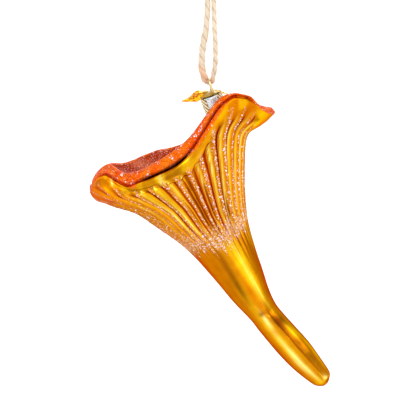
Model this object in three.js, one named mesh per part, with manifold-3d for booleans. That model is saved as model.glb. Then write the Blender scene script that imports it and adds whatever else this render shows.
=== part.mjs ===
// A hanging ornament of blown glass in the shape of a chanterelle: a hollow glass body with gills, a
// rolled cap margin and a bowl, a stamped crown cap on its neck, a wire hanger, a leaf trim, and a
// loop of twine with a knot. Millimetres, +Z up, hanging as it does in use. The origin is the wire's
// eye, where the twine bears. +X is to the right of the front view, and the front looks along +Y.

import * as THREE from "three";
import { mergeVertices } from "three/addons/utils/BufferGeometryUtils.js";
import Module from "manifold-3d";

const wasm = await Module();
wasm.setup();

// ---------------------------------------------------------------- driving dimensions

// Sections through the stem and the gills, from the tip up: the left and right edge as [x, z], and
// half the depth from front to back.
const SECTIONS = [
  { left: [49.6, -133.4], right: [51.8, -131.6], depth: 1.4 },
  { left: [47.5, -133.4], right: [52.4, -129.7], depth: 3.0 },
  { left: [44.6, -132.2], right: [52.1, -126.6], depth: 4.6 },
  { left: [37.1, -126.3], right: [46.8, -119.0], depth: 5.9 },
  { left: [30.3, -119.4], right: [41.0, -111.7], depth: 6.3 },
  { left: [22.4, -109.9], right: [33.0, -102.3], depth: 6.0 },
  { left: [17.8, -104.0], right: [28.9, -97.0], depth: 6.3 },
  { left: [10.6, -96.4], right: [25.9, -90.4], depth: 7.9 },
  { left: [1.8, -85.8], right: [23.3, -82.2], depth: 11.0 },
  { left: [-9.9, -72.8], right: [19.5, -71.0], depth: 15.0 },
  { left: [-22.4, -62.8], right: [16.1, -60.0], depth: 19.0 },
  { left: [-31.3, -56.9], right: [14.8, -50.5], depth: 22.0 },
  { left: [-42.4, -54.0], right: [14.7, -36.0], depth: 25.2 },
  { left: [-48.2, -52.4], right: [16.1, -24.1], depth: 27.0 },
  { left: [-50.8, -49.4], right: [22.1, -19.3], depth: 27.8 },
  { left: [-51.2, -46.4], right: [28.1, -15.0], depth: 28.0 },
];
const TIP = [50.8, -132.8];

// Two lines right round the cap's margin, [x, y, z], from the right lobe by way of the front: where
// the gills end, and the top of the rolled rim.
const GILL_EDGE = [
  [28.1, 0, -15.0], [24.0, -11, -12.9], [15.5, -19.5, -8.9], [5.5, -25, -11.6],
  [-9, -28, -33.5], [-22.5, -27, -41.1], [-34.5, -22.5, -44.4], [-44.8, -13, -40.8],
  [-51.2, 0, -46.4], [-46.5, 12.5, -46.0], [-36, 22, -46.0], [-24, 27, -41.0],
  [-10, 28.5, -36.5], [1, 26.5, -26.0], [13, 19.5, -18.0], [23.5, 10.5, -15.8],
];
const ROLL_TOP = [
  [26.6, 0, -12.2], [21.8, -10.5, -10.3], [14.6, -18, -4.6], [4.5, -23.5, -5.8],
  [-9.5, -26, -23.2], [-24, -25.5, -33.4], [-35, -20.5, -37.8], [-42.5, -11.5, -35.0],
  [-46.0, 0, -40.1], [-43, 11, -37.7], [-35, 20.5, -37.9], [-24, 25.5, -33.9],
  [-10, 27, -30.0], [0, 25, -17.9], [13, 18, -11.6], [22.6, 10.0, -12.8],
];

// The rolled margin between those two lines: the share of the way from the first to the second, and
// how far it stands out from the straight line between them.
const MARGIN_PROFILE = [
  [0.12, 0.7], [0.3, 0.6], [0.4, -0.8], [0.52, 0.4], [0.72, 1.3], [0.9, 0.9], [1.0, 0.0],
  [1.0, -1.5], [0.86, -2.9],
];

const RIB_COUNT = 36;
const RIB_HEIGHT = 0.75;
const RIB_CROWDING = 0.08; // radians: how far the ribs shift towards the steep right side
const RIB_PHASE = 2.76; // radians of a rib's wave: it sets a crest where the front view needs one
const RIB_FAN = 0.3; // radians: how far they fan out again towards the left lobe at the margin
const RIBS_START = 8.3; // in sections from the tip
const BEAK_START = 13; // in sections from the tip: the right lobe above it is a plain beak
const BEAK_HALF_ANGLE = 0.33; // radians
const FLARE_START = 11; // in sections from the tip, where the margin's wave begins to show
const BOWL_STRAIGHT_SPAN = 12; // a bowl wall shorter than this runs straight to the neck
const BOWL_SAG = 0.42;
const WALL = 1.2;

// The crown, the neck and the wire share an axis that leans away from the twine.
const CROWN_LEAN = THREE.MathUtils.degToRad(21);
const NECK_X = -1.7;
const NECK_BASE_Z = -24;
const NECK_BASE_RADIUS = 6.5;
const NECK_RADIUS = 4.2;
const NECK_WALL = 1.1;
const NECK_LIP_Z = -7.7;
const GAP = 0.3;

const CROWN_EDGE_Z = -7.0;
const CROWN_DOME = 0.6;
const CROWN_HEIGHT = 9.0;
const CROWN_RADIUS = 5.0;
const CROWN_SHEET = 0.4;
const FLUTE_COUNT = 24;
const FLUTE_DEPTH = 0.25;
const BARE_PANEL_HALF_ANGLE = THREE.MathUtils.degToRad(30);

const WIRE_RADIUS = 0.45;
const BOW_RADIUS = 1.9;
const LEG_X = [-0.1, -1.3]; // front leg, back leg
const LEG_Y = 1.7;
const COLLAR_RADIUS = 1.2;
const COLLAR_HEIGHT = 0.5;
const LEG_SPLAY_Y = 2.3;
const LEG_END_Z = -15;

const TRIM_THICKNESS = 0.7;
const TRIM_Z = -4.9;
const TRIM_DISC_RADIUS = 3.4;
const TRIM_DISC_DROOP = 0.2;

const TWINE_RADIUS = 1.15;
const TWINE_ROUTE = [
  [-0.4, 0, 35.3], [-0.5, 0.1, 31.0], [-0.75, 0.3, 26.5], [-1.25, 0.5, 21.0], [-2.05, 0.6, 16.5],
  [-2.7, 0.5, 12.0], [-2.95, 0.3, 8.0], [-2.9, 0.1, 4.8], [-2.4, 0, 2.7], [-1.9, 0, 0.9],
  [-1.55, 0, -0.4], [-0.85, 0, -1.25], [0, 0, -1.55], [0.85, 0, -1.25], [1.55, 0, -0.4],
  [1.8, 0, 0.9], [2.15, 0, 2.7], [2.6, -0.1, 4.9], [2.85, -0.3, 8.5], [2.9, -0.5, 12.5],
  [2.75, -0.6, 17.0], [2.55, -0.5, 21.5], [2.4, -0.3, 26.5], [2.25, -0.1, 31.0], [2.2, 0, 35.3],
];
const TWINE_STEPS = 44;
const KNOT_CENTRE = [0.9, 0, 38.7];
const KNOT_RADIUS = 3.4;
const KNOT_HALF_HEIGHT = 3.1;
const TAIL_LENGTHS = [7.9, 6.7]; // left, right, from the knot's centre up

// ---------------------------------------------------------------- shared shapes

const TURN = 2 * Math.PI;
const UP = new THREE.Vector3(-Math.sin(CROWN_LEAN), 0, Math.cos(CROWN_LEAN));
const ACROSS = new THREE.Vector3(Math.cos(CROWN_LEAN), 0, Math.sin(CROWN_LEAN));
const FRONT = new THREE.Vector3(0, -1, 0);

const vector = (p) => new THREE.Vector3(...p);
const smooth = (x) => THREE.MathUtils.smoothstep(x, 0, 1);

function curveThrough(points, closed = false) {
  return new THREE.CatmullRomCurve3(points.map(vector), closed, "catmullrom", 0.5);
}

// The angle, from +X by way of the front, at a share of the ribs' way round: they crowd to one side.
function turnAt(share) {
  let turn = TURN * share;
  for (let round = 0; round < 20; round++) {
    turn = TURN * share - RIB_CROWDING * Math.sin(turn);
  }
  return turn;
}

// A closed ring of points, each at an equal share of the way round.
function ring(count, pointAt) {
  return Array.from({ length: count }, (_, i) => pointAt(turnAt(i / count)));
}

// A closed skin over a stack of rings, whose counts may differ. Its two ends close on a point each.
function skinOver(startPoint, rings, endPoint) {
  const points = [startPoint, ...rings.flat(), endPoint];
  const last = points.length - 1;
  const triangles = [];
  let first = 1;
  const startCount = rings[0].length;
  for (let i = 0; i < startCount; i++) {
    triangles.push(0, 1 + i, 1 + ((i + 1) % startCount));
  }
  for (let r = 0; r + 1 < rings.length; r++) {
    const [low, high] = [rings[r].length, rings[r + 1].length];
    const next = first + low;
    let [i, j] = [0, 0];
    while (i < low || j < high) {
      const here = first + (i % low);
      const there = next + (j % high);
      if ((i + 1) * high <= (j + 1) * low && i < low) {
        triangles.push(here, there, first + ((i + 1) % low));
        i += 1;
      } else {
        triangles.push(here, there, next + ((j + 1) % high));
        j += 1;
      }
    }
    first = next;
  }
  const endCount = rings.at(-1).length;
  for (let i = 0; i < endCount; i++) {
    triangles.push(last, first + ((i + 1) % endCount), first + i);
  }
  const geometry = new THREE.BufferGeometry();
  const places = points.flatMap((p) => [p.x, p.y, p.z]);
  geometry.setAttribute("position", new THREE.Float32BufferAttribute(places, 3));
  geometry.setIndex(triangles);
  return geometry;
}

// A manifold solid from a closed three.js geometry, and a geometry from a solid.
function solidFrom(geometry) {
  const bare = geometry.clone();
  bare.deleteAttribute("normal");
  bare.deleteAttribute("uv");
  const merged = mergeVertices(bare, 1e-4);
  return new wasm.Manifold(
    new wasm.Mesh({
      numProp: 3,
      vertProperties: new Float32Array(merged.attributes.position.array),
      triVerts: new Uint32Array(merged.index.array),
    }),
  );
}

function geometryFrom(solid) {
  const mesh = solid.getMesh();
  const geometry = new THREE.BufferGeometry();
  geometry.setAttribute("position", new THREE.Float32BufferAttribute(mesh.vertProperties, 3));
  geometry.setIndex(Array.from(mesh.triVerts));
  geometry.computeVertexNormals();
  return geometry;
}

function tubeAlong(points, radius, sides, steps) {
  const section = new THREE.Shape(
    Array.from({ length: sides }, (_, i) => {
      const turn = (TURN * i) / sides;
      return new THREE.Vector2(radius * Math.cos(turn), radius * Math.sin(turn));
    }),
  );
  const options = { steps, extrudePath: curveThrough(points), bevelEnabled: false };
  return new THREE.ExtrudeGeometry(section, options);
}

// A solid turned about the z axis from a profile of [radius, z], and a plain round one.
function turnedSolid(profile, sides) {
  const geometry = new THREE.LatheGeometry(profile.map(([r, z]) => new THREE.Vector2(r, z)), sides);
  geometry.rotateX(Math.PI / 2);
  return solidFrom(geometry);
}

function roundSolid(radius, bottom, top, sides) {
  return turnedSolid([[0, bottom], [radius, bottom], [radius, top], [0, top]], sides);
}

function range(from, to, count) {
  return Array.from({ length: count }, (_, i) => from + ((to - from) * i) / (count - 1));
}

// ---------------------------------------------------------------- glass body

const leftEdge = curveThrough(SECTIONS.map(({ left: [x, z], depth }) => [x, depth, z]));
const rightEdge = curveThrough(SECTIONS.map(({ right: [x, z], depth }) => [x, depth, z]));
const gillEdge = curveThrough(GILL_EDGE, true);
const rollTop = curveThrough(ROLL_TOP, true);
const TOP_SECTION = SECTIONS.length - 1;

// The plain oval through a section, which may lie between two of the listed ones.
function onSection(section, turn) {
  const left = leftEdge.getPoint(section / TOP_SECTION);
  const right = rightEdge.getPoint(section / TOP_SECTION);
  const depth = (left.y + right.y) / 2;
  left.y = 0;
  right.y = 0;
  const centre = left.clone().add(right).multiplyScalar(0.5);
  const half = right.sub(left).multiplyScalar(0.5);
  return centre.addScaledVector(half, Math.cos(turn)).addScaledVector(FRONT, depth * Math.sin(turn));
}

// The share of the way round the margin that belongs to an angle of the sections.
function marginShare(turn) {
  return THREE.MathUtils.euclideanModulo((turn + RIB_FAN * Math.sin(turn)) / TURN, 1);
}

// The gill side without its ribs. Towards the top it rises, and then slides, to the margin's wavy line.
function onTrumpet(section, turn) {
  const way = Math.max(0, (section - FLARE_START) / (TOP_SECTION - FLARE_START));
  const slide = way ** 3;
  const rise = way - Math.sin(TURN * way) / (2 * TURN);
  const wave = gillEdge.getPoint(marginShare(turn)).sub(onSection(TOP_SECTION, turn));
  return onSection(section, turn).add(wave.multiply(new THREE.Vector3(slide, slide, rise)));
}

function outwardOf(section, turn) {
  const step = 0.02;
  const round = onTrumpet(section, turn + step).sub(onTrumpet(section, turn - step));
  const up = onTrumpet(Math.min(section + step, TOP_SECTION), turn).sub(onTrumpet(section - step, turn));
  return up.cross(round).normalize();
}

// One on the plain beak of the right lobe, and nought on the ribbed rest.
function beakAt(section, turn) {
  const side = Math.abs(Math.atan2(Math.sin(turn), Math.cos(turn)));
  return smooth((section - BEAK_START) / 0.5) * smooth((BEAK_HALF_ANGLE - side) / 0.1 + 0.5);
}

function onGills(section, turn) {
  const rise = smooth((section - RIBS_START) / 3.2);
  const fall = smooth((TOP_SECTION - section) / 1.2) * (1 - beakAt(section, turn));
  const wave = Math.cos(RIB_COUNT * (turn + RIB_CROWDING * Math.sin(turn)) + RIB_PHASE);
  const height = RIB_HEIGHT * rise * fall * wave;
  return onTrumpet(section, turn).addScaledVector(outwardOf(section, turn), height);
}

// A point of the rolled margin, at a share of the way up it and a distance out from it.
function onMargin(turn, [share, out]) {
  const edge = gillEdge.getPoint(marginShare(turn));
  const top = rollTop.getPoint(marginShare(turn));
  const along = gillEdge.getTangent(marginShare(turn));
  const rise = top.sub(edge);
  const outward = rise.clone().cross(along).normalize();
  return edge.addScaledVector(rise, share).addScaledVector(outward, out);
}

function neckAt(z, radius, turn) {
  return new THREE.Vector3()
    .addScaledVector(ACROSS, NECK_X + radius * Math.cos(turn))
    .addScaledVector(FRONT, radius * Math.sin(turn))
    .addScaledVector(UP, z);
}

// The bowl's wall, from the rim's inner edge at 0 to the foot of the neck at 1.
function onBowl(share, turn) {
  const rim = onMargin(turn, MARGIN_PROFILE.at(-1));
  const foot = neckAt(NECK_BASE_Z, NECK_BASE_RADIUS, turn);
  const span = foot.clone().sub(rim);
  const sag = BOWL_SAG * Math.max(0, span.length() - BOWL_STRAIGHT_SPAN);
  const nearRim = rim.clone().addScaledVector(span, 0.22).addScaledVector(UP, -sag);
  const nearFoot = foot.clone().addScaledVector(span, -0.3);
  return new THREE.CubicBezierCurve3(rim, nearRim, nearFoot, foot).getPoint(share);
}

function glassOutside() {
  const stem = range(0, 7, 15).map((s) => ring(36, (turn) => onSection(s, turn)));
  const gills = range(0, 1, 14).map((share) => {
    const section = RIBS_START + (TOP_SECTION - RIBS_START) * (1 - (1 - share) ** 1.2);
    return ring(3 * RIB_COUNT, (turn) => onGills(section, turn));
  });
  const margin = MARGIN_PROFILE.map((point) => ring(72, (turn) => onMargin(turn, point)));
  const bowl = range(0.14, 1, 7).map((share) => ring(54, (turn) => onBowl(share, turn)));
  const neckProfile = [
    [NECK_BASE_Z + 1, NECK_RADIUS + 0.7],
    [NECK_BASE_Z + 2.6, NECK_RADIUS],
    [NECK_LIP_Z, NECK_RADIUS],
  ];
  const neck = neckProfile.map(([z, radius]) => ring(36, (turn) => neckAt(z, radius, turn)));
  const tip = new THREE.Vector3(TIP[0], 0, TIP[1]);
  return skinOver(tip, [...stem, ...gills, ...margin, ...bowl, ...neck], neckAt(NECK_LIP_Z, 0, 0));
}

// The hollow inside the glass, one wall's thickness within it and out through the neck's open end.
function glassHollow() {
  const within = (section, turn) => {
    return onTrumpet(section, turn).addScaledVector(outwardOf(section, turn), -WALL);
  };
  const underBowl = (share, turn) => {
    const here = onBowl(share, turn);
    const round = onBowl(share, turn + 0.02).sub(onBowl(share, turn - 0.02));
    const inwards = onBowl(share + 0.02, turn).sub(here);
    return here.addScaledVector(inwards.cross(round).normalize(), -WALL);
  };
  const sides = range(2.2, TOP_SECTION - 0.4, 16).map((s) => ring(36, (turn) => within(s, turn)));
  const roof = range(0.16, 0.82, 5).map((share) => ring(36, (turn) => underBowl(share, turn)));
  const bore = NECK_RADIUS - NECK_WALL;
  const pastLip = NECK_LIP_Z + 2;
  const neckProfile = [
    [NECK_BASE_Z - WALL - 0.2, NECK_BASE_RADIUS + 0.4],
    [NECK_BASE_Z - WALL, bore],
    [pastLip, bore],
  ];
  const neck = neckProfile.map(([z, radius]) => ring(36, (turn) => neckAt(z, radius, turn)));
  const start = onSection(1.9, 0).add(onSection(1.9, Math.PI)).multiplyScalar(0.5);
  return skinOver(start, [...sides, ...roof, ...neck], neckAt(pastLip, 0, 0));
}

function glassBody() {
  return geometryFrom(solidFrom(glassOutside()).subtract(solidFrom(glassHollow())));
}

// ---------------------------------------------------------------- crown, wire and trim, along the neck

// The crown's skirt: flutes all round, but for the bare panel at the front.
function skirtOutline() {
  const count = 4 * FLUTE_COUNT;
  const atFront = 1.5 * Math.PI;
  return new THREE.Shape(
    Array.from({ length: count }, (_, i) => {
      const turn = (TURN * i) / count;
      const isBare = Math.abs(turn - atFront) < BARE_PANEL_HALF_ANGLE;
      const depth = isBare ? 0 : FLUTE_DEPTH * Math.abs(Math.sin((FLUTE_COUNT * turn) / 2));
      const radius = CROWN_RADIUS - depth;
      return new THREE.Vector2(radius * Math.cos(turn), radius * Math.sin(turn));
    }),
  );
}

// The crown about its own axis, with a raised collar round each of the wire's two holes.
function crownCap() {
  const foot = CROWN_EDGE_Z - CROWN_HEIGHT;
  const top = CROWN_EDGE_Z + CROWN_DOME;
  const shoulder = CROWN_RADIUS - FLUTE_DEPTH - 0.1;
  const inside = CROWN_RADIUS - CROWN_SHEET - GAP / 4;
  const skirt = new THREE.ExtrudeGeometry(skirtOutline(), { depth: CROWN_HEIGHT, bevelEnabled: false });
  const dome = turnedSolid([
    [0, CROWN_EDGE_Z - 0.1],
    [shoulder, CROWN_EDGE_Z - 0.1],
    [shoulder, CROWN_EDGE_Z],
    [0.65 * CROWN_RADIUS, top - 0.12],
    [0, top],
  ], 48);
  const hollow = roundSolid(inside, foot - 1, CROWN_EDGE_Z - CROWN_SHEET, 48);
  const collar = turnedSolid([
    [0, top - 0.8],
    [COLLAR_RADIUS + 0.15, top - 0.8],
    [COLLAR_RADIUS, top + COLLAR_HEIGHT],
    [0, top + COLLAR_HEIGHT],
  ], 20);
  const hole = roundSolid(WIRE_RADIUS + GAP, top - 3, top + 3, 20);
  let crown = solidFrom(skirt.translate(0, 0, foot)).add(dome).subtract(hollow);
  for (const [x, y] of [[LEG_X[0], -LEG_Y], [LEG_X[1], LEG_Y]]) {
    const place = [x - NECK_X, y, 0];
    crown = crown.add(collar.translate(place).subtract(hollow)).subtract(hole.translate(place));
  }
  return geometryFrom(crown).translate(NECK_X, 0, 0);
}

// One bow of wire. Its two legs pass the crown's holes and splay out inside the neck.
function wireHanger() {
  const centre = WIRE_RADIUS - BOW_RADIUS;
  const bow = range(0, Math.PI, 7).map((turn) => [
    0, -BOW_RADIUS * Math.cos(turn), centre + BOW_RADIUS * Math.sin(turn),
  ]);
  const leg = (x, side) => [
    [0.6 * x, side * (BOW_RADIUS + LEG_Y) / 2, (centre + CROWN_EDGE_Z) / 2],
    [x, side * LEG_Y, CROWN_EDGE_Z + 1.4],
    [x, side * LEG_Y, CROWN_EDGE_Z - 0.6],
    [(x + NECK_X) / 2, side * (LEG_Y + 0.2), CROWN_EDGE_Z - 4],
    [NECK_X, side * LEG_SPLAY_Y, LEG_END_Z],
  ];
  const route = [...leg(LEG_X[0], -1).reverse(), ...bow, ...leg(LEG_X[1], 1)];
  return tubeAlong(route, WIRE_RADIUS, 8, 44);
}

// A thin lobe of the leaf trim: rows across it, each with its place along the lobe, half its width,
// the height of its middle, and how steeply it tips up towards the back.
function lobe(rows) {
  const halfThick = TRIM_THICKNESS / 2;
  const rings = rows.map(({ x, y = 0, half, z, tip }) => {
    const across = new THREE.Vector3(0, Math.cos(tip), Math.sin(tip));
    const thick = new THREE.Vector3(0, -Math.sin(tip), Math.cos(tip));
    const middle = new THREE.Vector3(x, y, z);
    return [[1, 0], [0.5, 1], [-0.5, 1], [-1, 0], [-0.5, -1], [0.5, -1]].map(([a, b]) =>
      middle.clone().addScaledVector(across, a * half).addScaledVector(thick, b * halfThick),
    );
  });
  if (rows.at(-1).x > rows[0].x) {
    rings.forEach((r) => r.reverse());
  }
  const endOf = ({ x, y = 0, z }) => new THREE.Vector3(x, y, z);
  return solidFrom(skinOver(endOf(rows[0]), rings, endOf(rows.at(-1))));
}

// A long lobe to the left and a short one to the right of a disc, which both legs of the wire pass.
function leafTrim() {
  const low = TRIM_Z - TRIM_THICKNESS;
  const disc = turnedSolid([
    [0, low],
    [TRIM_DISC_RADIUS, low - TRIM_DISC_DROOP],
    [TRIM_DISC_RADIUS, TRIM_Z - TRIM_DISC_DROOP],
    [0, TRIM_Z],
  ], 36).translate(NECK_X, 0, 0);
  const long = lobe([
    { x: -1.9, y: 1.7, half: 1.1, z: TRIM_Z, tip: 0.05 },
    { x: -3.2, y: 1.2, half: 2.0, z: -4.6, tip: 0.3 },
    { x: -4.3, y: 0.6, half: 2.6, z: -4.5, tip: 0.45 },
    { x: -5.8, y: 0.2, half: 3.2, z: -4.4, tip: 0.6 },
    { x: -8.0, y: 0, half: 3.0, z: -4.7, tip: 0.68 },
    { x: -10.2, y: -0.2, half: 2.2, z: -4.8, tip: 0.6 },
    { x: -12.4, y: -0.4, half: 1.1, z: -4.7, tip: 0.5 },
    { x: -14.0, y: -0.5, half: 0.25, z: -4.6, tip: 0.5 },
  ]);
  const short = lobe([
    { x: -0.7, y: 2.0, half: 0.9, z: TRIM_Z, tip: 0 },
    { x: 1.4, y: 2.6, half: 1.4, z: -5.6, tip: 0.1 },
    { x: 3.2, y: 3.0, half: 1.6, z: -7.1, tip: 0.1 },
    { x: 4.6, y: 3.2, half: 1.1, z: -8.4, tip: 0 },
    { x: 5.6, y: 3.3, half: 0.3, z: -9.3, tip: 0 },
  ]);
  let trim = disc.add(long).add(short);
  for (const [x, y] of [[LEG_X[0], -LEG_Y], [LEG_X[1], LEG_Y]]) {
    trim = trim.subtract(roundSolid(WIRE_RADIUS + GAP, TRIM_Z - 3, TRIM_Z + 3, 24).translate(x, y, 0));
  }
  return geometryFrom(trim);
}

// ---------------------------------------------------------------- twine

function twineLoop() {
  return tubeAlong(TWINE_ROUTE, TWINE_RADIUS, 8, TWINE_STEPS);
}

// The knot that closes the loop, with its two short tails.
function twineKnot() {
  const profile = range(-Math.PI / 2, Math.PI / 2, 9).map((turn) => [
    KNOT_RADIUS * Math.cos(turn) ** 0.7, KNOT_HALF_HEIGHT * Math.sin(turn),
  ]);
  profile[0][0] = 0;
  profile.at(-1)[0] = 0;
  const [x, , z] = KNOT_CENTRE;
  let knot = turnedSolid(profile, 18).translate(KNOT_CENTRE);
  for (const [side, length] of [[-1, TAIL_LENGTHS[0]], [1, TAIL_LENGTHS[1]]]) {
    const tail = [
      [x + side, 0, z + 0.8],
      [x + 1.6 * side, 0.3 * side, z + 3.8],
      [x + 2.9 * side, 0.6 * side, z + length],
    ];
    knot = knot.add(solidFrom(tubeAlong(tail, 0.95 * TWINE_RADIUS, 8, 6)));
  }
  return geometryFrom(knot);
}

// ---------------------------------------------------------------- assembly

function piece(name, geometry, color, roughness, metalness) {
  const mesh = new THREE.Mesh(geometry, new THREE.MeshStandardMaterial({ color, roughness, metalness }));
  mesh.name = name;
  return mesh;
}

const ornament = new THREE.Group();
ornament.add(piece("glass_body", glassBody(), 0xe38a08, 0.2, 0.6));

const fittings = new THREE.Group();
fittings.rotation.y = -CROWN_LEAN;
fittings.add(piece("crown_cap", crownCap(), 0xd9cfae, 0.3, 0.9));
fittings.add(piece("wire_hanger", wireHanger(), 0xcfae5e, 0.25, 0.9));
fittings.add(piece("leaf_trim", leafTrim(), 0xf29a10, 0.45, 0.2));
ornament.add(fittings);

ornament.add(piece("twine_loop", twineLoop(), 0xe3cba3, 0.9, 0));
ornament.add(piece("twine_knot", twineKnot(), 0xe3cba3, 0.9, 0));

export default ornament;
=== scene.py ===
import math

import bpy
import numpy as np
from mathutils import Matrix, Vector


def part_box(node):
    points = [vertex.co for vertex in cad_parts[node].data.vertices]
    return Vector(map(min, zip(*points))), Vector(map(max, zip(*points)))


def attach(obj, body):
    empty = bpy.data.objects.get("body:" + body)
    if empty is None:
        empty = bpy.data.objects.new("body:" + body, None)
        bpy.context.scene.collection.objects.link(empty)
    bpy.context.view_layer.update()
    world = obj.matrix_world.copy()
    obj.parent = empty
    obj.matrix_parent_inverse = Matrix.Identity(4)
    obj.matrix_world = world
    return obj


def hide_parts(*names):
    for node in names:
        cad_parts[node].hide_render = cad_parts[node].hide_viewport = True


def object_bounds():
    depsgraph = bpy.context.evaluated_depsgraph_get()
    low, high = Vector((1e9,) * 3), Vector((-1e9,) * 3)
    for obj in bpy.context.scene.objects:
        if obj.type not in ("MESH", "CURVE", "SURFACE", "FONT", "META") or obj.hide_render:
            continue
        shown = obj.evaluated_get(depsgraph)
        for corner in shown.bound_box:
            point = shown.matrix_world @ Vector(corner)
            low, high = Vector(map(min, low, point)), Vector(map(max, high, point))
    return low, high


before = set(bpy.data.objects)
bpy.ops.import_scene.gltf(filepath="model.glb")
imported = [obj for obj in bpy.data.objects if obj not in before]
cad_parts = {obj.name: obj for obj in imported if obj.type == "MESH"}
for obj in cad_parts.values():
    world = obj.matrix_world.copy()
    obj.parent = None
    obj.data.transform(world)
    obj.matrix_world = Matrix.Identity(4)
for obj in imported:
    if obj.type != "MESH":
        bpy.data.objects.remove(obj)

cad_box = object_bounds()

# A hanging ornament of blown glass in the shape of a chanterelle, in metres, +Z up. The origin is the
# wire's eye, where the twine bears, +X is to the right of the front view, and the front looks along +Y.

# ---------------------------------------------------------------- camera
# A long lens a little above the level of the glass. It takes in the body and the lower part of the
# twine, and the knot that closes the twine is above the view.
CAMERA_RISE = math.radians(8)
CAMERA_DISTANCE = 1.3
VIEW_WIDTH = 0.1789
CAMERA_AIM = Vector((-0.0003, 0, -0.0555))


def put_in_scene(name, data):
    """An object made of a lens, a mesh or a light."""
    made = bpy.data.objects.new(name, data)
    bpy.context.scene.collection.objects.link(made)
    return made


lens = bpy.data.cameras.new("camera")
lens.sensor_width = 36
lens.lens = lens.sensor_width * CAMERA_DISTANCE / VIEW_WIDTH
lens.clip_start = 0.05
lens.clip_end = 100
camera = put_in_scene("camera", lens)
towards_camera = Vector((0, -math.cos(CAMERA_RISE), math.sin(CAMERA_RISE)))
camera.location = CAMERA_AIM + CAMERA_DISTANCE * towards_camera
camera.rotation_euler = (-towards_camera).to_track_quat("-Z", "Y").to_euler()
bpy.context.scene.camera = camera
bpy.context.scene.view_settings.view_transform = "Standard"

# ---------------------------------------------------------------- twine loop
# Natural jute of two plies, twisted together. It comes down from the knot, passes through the wire's
# eye, which hangs on it, and goes back up into the knot.
TWINE_DIAMETER = 0.0023
TWINE_ROUTE = (
    (-0.0004, 0, 0.0353), (-0.0005, 0.0001, 0.0310), (-0.00075, 0.0003, 0.0265),
    (-0.00125, 0.0005, 0.0210), (-0.00205, 0.0006, 0.0165), (-0.0027, 0.0005, 0.0120),
    (-0.00295, 0.0003, 0.0080), (-0.0029, 0.0001, 0.0048), (-0.0024, 0, 0.0027),
    (-0.0019, 0, 0.0009), (-0.00155, 0, -0.0004), (-0.00085, 0, -0.00125),
    (0, 0, -0.00155), (0.00085, 0, -0.00125), (0.00155, 0, -0.0004),
    (0.0018, 0, 0.0009), (0.00215, 0, 0.0027), (0.0026, -0.0001, 0.0049),
    (0.00285, -0.0003, 0.0085), (0.0029, -0.0005, 0.0125), (0.00275, -0.0006, 0.0170),
    (0.00255, -0.0005, 0.0215), (0.0024, -0.0003, 0.0265), (0.00225, -0.0001, 0.0310),
    (0.0022, 0, 0.0353),
)
TWINE_STEPS = 320
TWINE_SIDES = 32
PLY_PITCH = 0.0088
PLY_OFFSET = 0.22  # of the twine's radius, as the next three are
PLY_RADIUS = 0.80
YARN_RELIEF = 0.012
UNEVENNESS = 0.025
STRAW = ((0.30, (0.58, 0.43, 0.27)), (0.46, (0.82, 0.68, 0.50)), (0.66, (0.96, 0.87, 0.73)))
# The brown of the painted shade in the groove between the plies, and the orange of the tint near the wire.
GROOVE_BROWN = (0.50, 0.31, 0.17, 1)
ORANGE_TINT = (0.93, 0.40, 0.14, 1)


def spline(points, at, closed=False):
    """Points on a smooth curve through the given ones, at shares of the way from 0 to 1."""
    points = np.asarray(points, float)
    at = np.asarray(at, float)
    count = len(points)
    if closed:
        place = np.mod(at, 1) * count
        first = np.floor(place).astype(int)
        near = points[(first[..., None] + np.arange(-1, 3)) % count]
    else:
        run = np.vstack([2 * points[0] - points[1], points, 2 * points[-1] - points[-2]])
        place = np.clip(at, 0, 1) * (count - 1)
        first = np.minimum(np.floor(place).astype(int), count - 2)
        near = run[first[..., None] + np.arange(4)]
    t = (place - first)[..., None]
    a, b, c, d = (near[..., i, :] for i in range(4))
    square = 2 * a - 5 * b + 4 * c - d
    cube = 3 * b - a - 3 * c + d
    return 0.5 * (2 * b + (c - a) * t + square * t**2 + cube * t**3)


def unit(vectors):
    """The same directions, each one long."""
    return vectors / np.linalg.norm(vectors, axis=-1, keepdims=True)


def smoothstep(low, high, x):
    """Nought at low and before it, one at high and beyond it, and a soft slope between them."""
    t = np.clip((x - low) / (high - low), 0, 1)
    return t * t * (3 - 2 * t)


def spot(x, middle, half_width):
    """A soft bump: one at the middle, and about a third at the half width on either side."""
    return np.exp(-(((x - middle) / half_width) ** 2))


def ring_faces(rows, columns, first=0):
    """Quads between rows of points that each close on themselves, and a cap over each end."""
    here = np.arange(columns)
    after = (here + 1) % columns
    faces = [(first + here[::-1]).tolist()]
    for row in range(rows - 1):
        low = first + row * columns
        high = low + columns
        faces += np.stack([low + here, low + after, high + after, high + here], 1).tolist()
    faces.append((first + (rows - 1) * columns + here).tolist())
    return faces


def tube(path, radius):
    """A tube round a path, from a grid of radii that has a row for each point of the path."""
    ahead = unit(np.gradient(path, axis=0))
    side = np.empty_like(path)
    start = np.cross(ahead[0], (0, 1, 0))
    side[0] = start / np.linalg.norm(start)
    for i in range(1, len(path)):
        kept = side[i - 1] - ahead[i] * side[i - 1].dot(ahead[i])
        side[i] = kept / np.linalg.norm(kept)
    other = np.cross(ahead, side)
    turn = np.linspace(0, 2 * np.pi, radius.shape[1], endpoint=False)
    across = side[:, None] * np.cos(turn)[:, None] + other[:, None] * np.sin(turn)[:, None]
    points = path[:, None] + radius[..., None] * across
    return points.reshape(-1, 3), ring_faces(*radius.shape)


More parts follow.
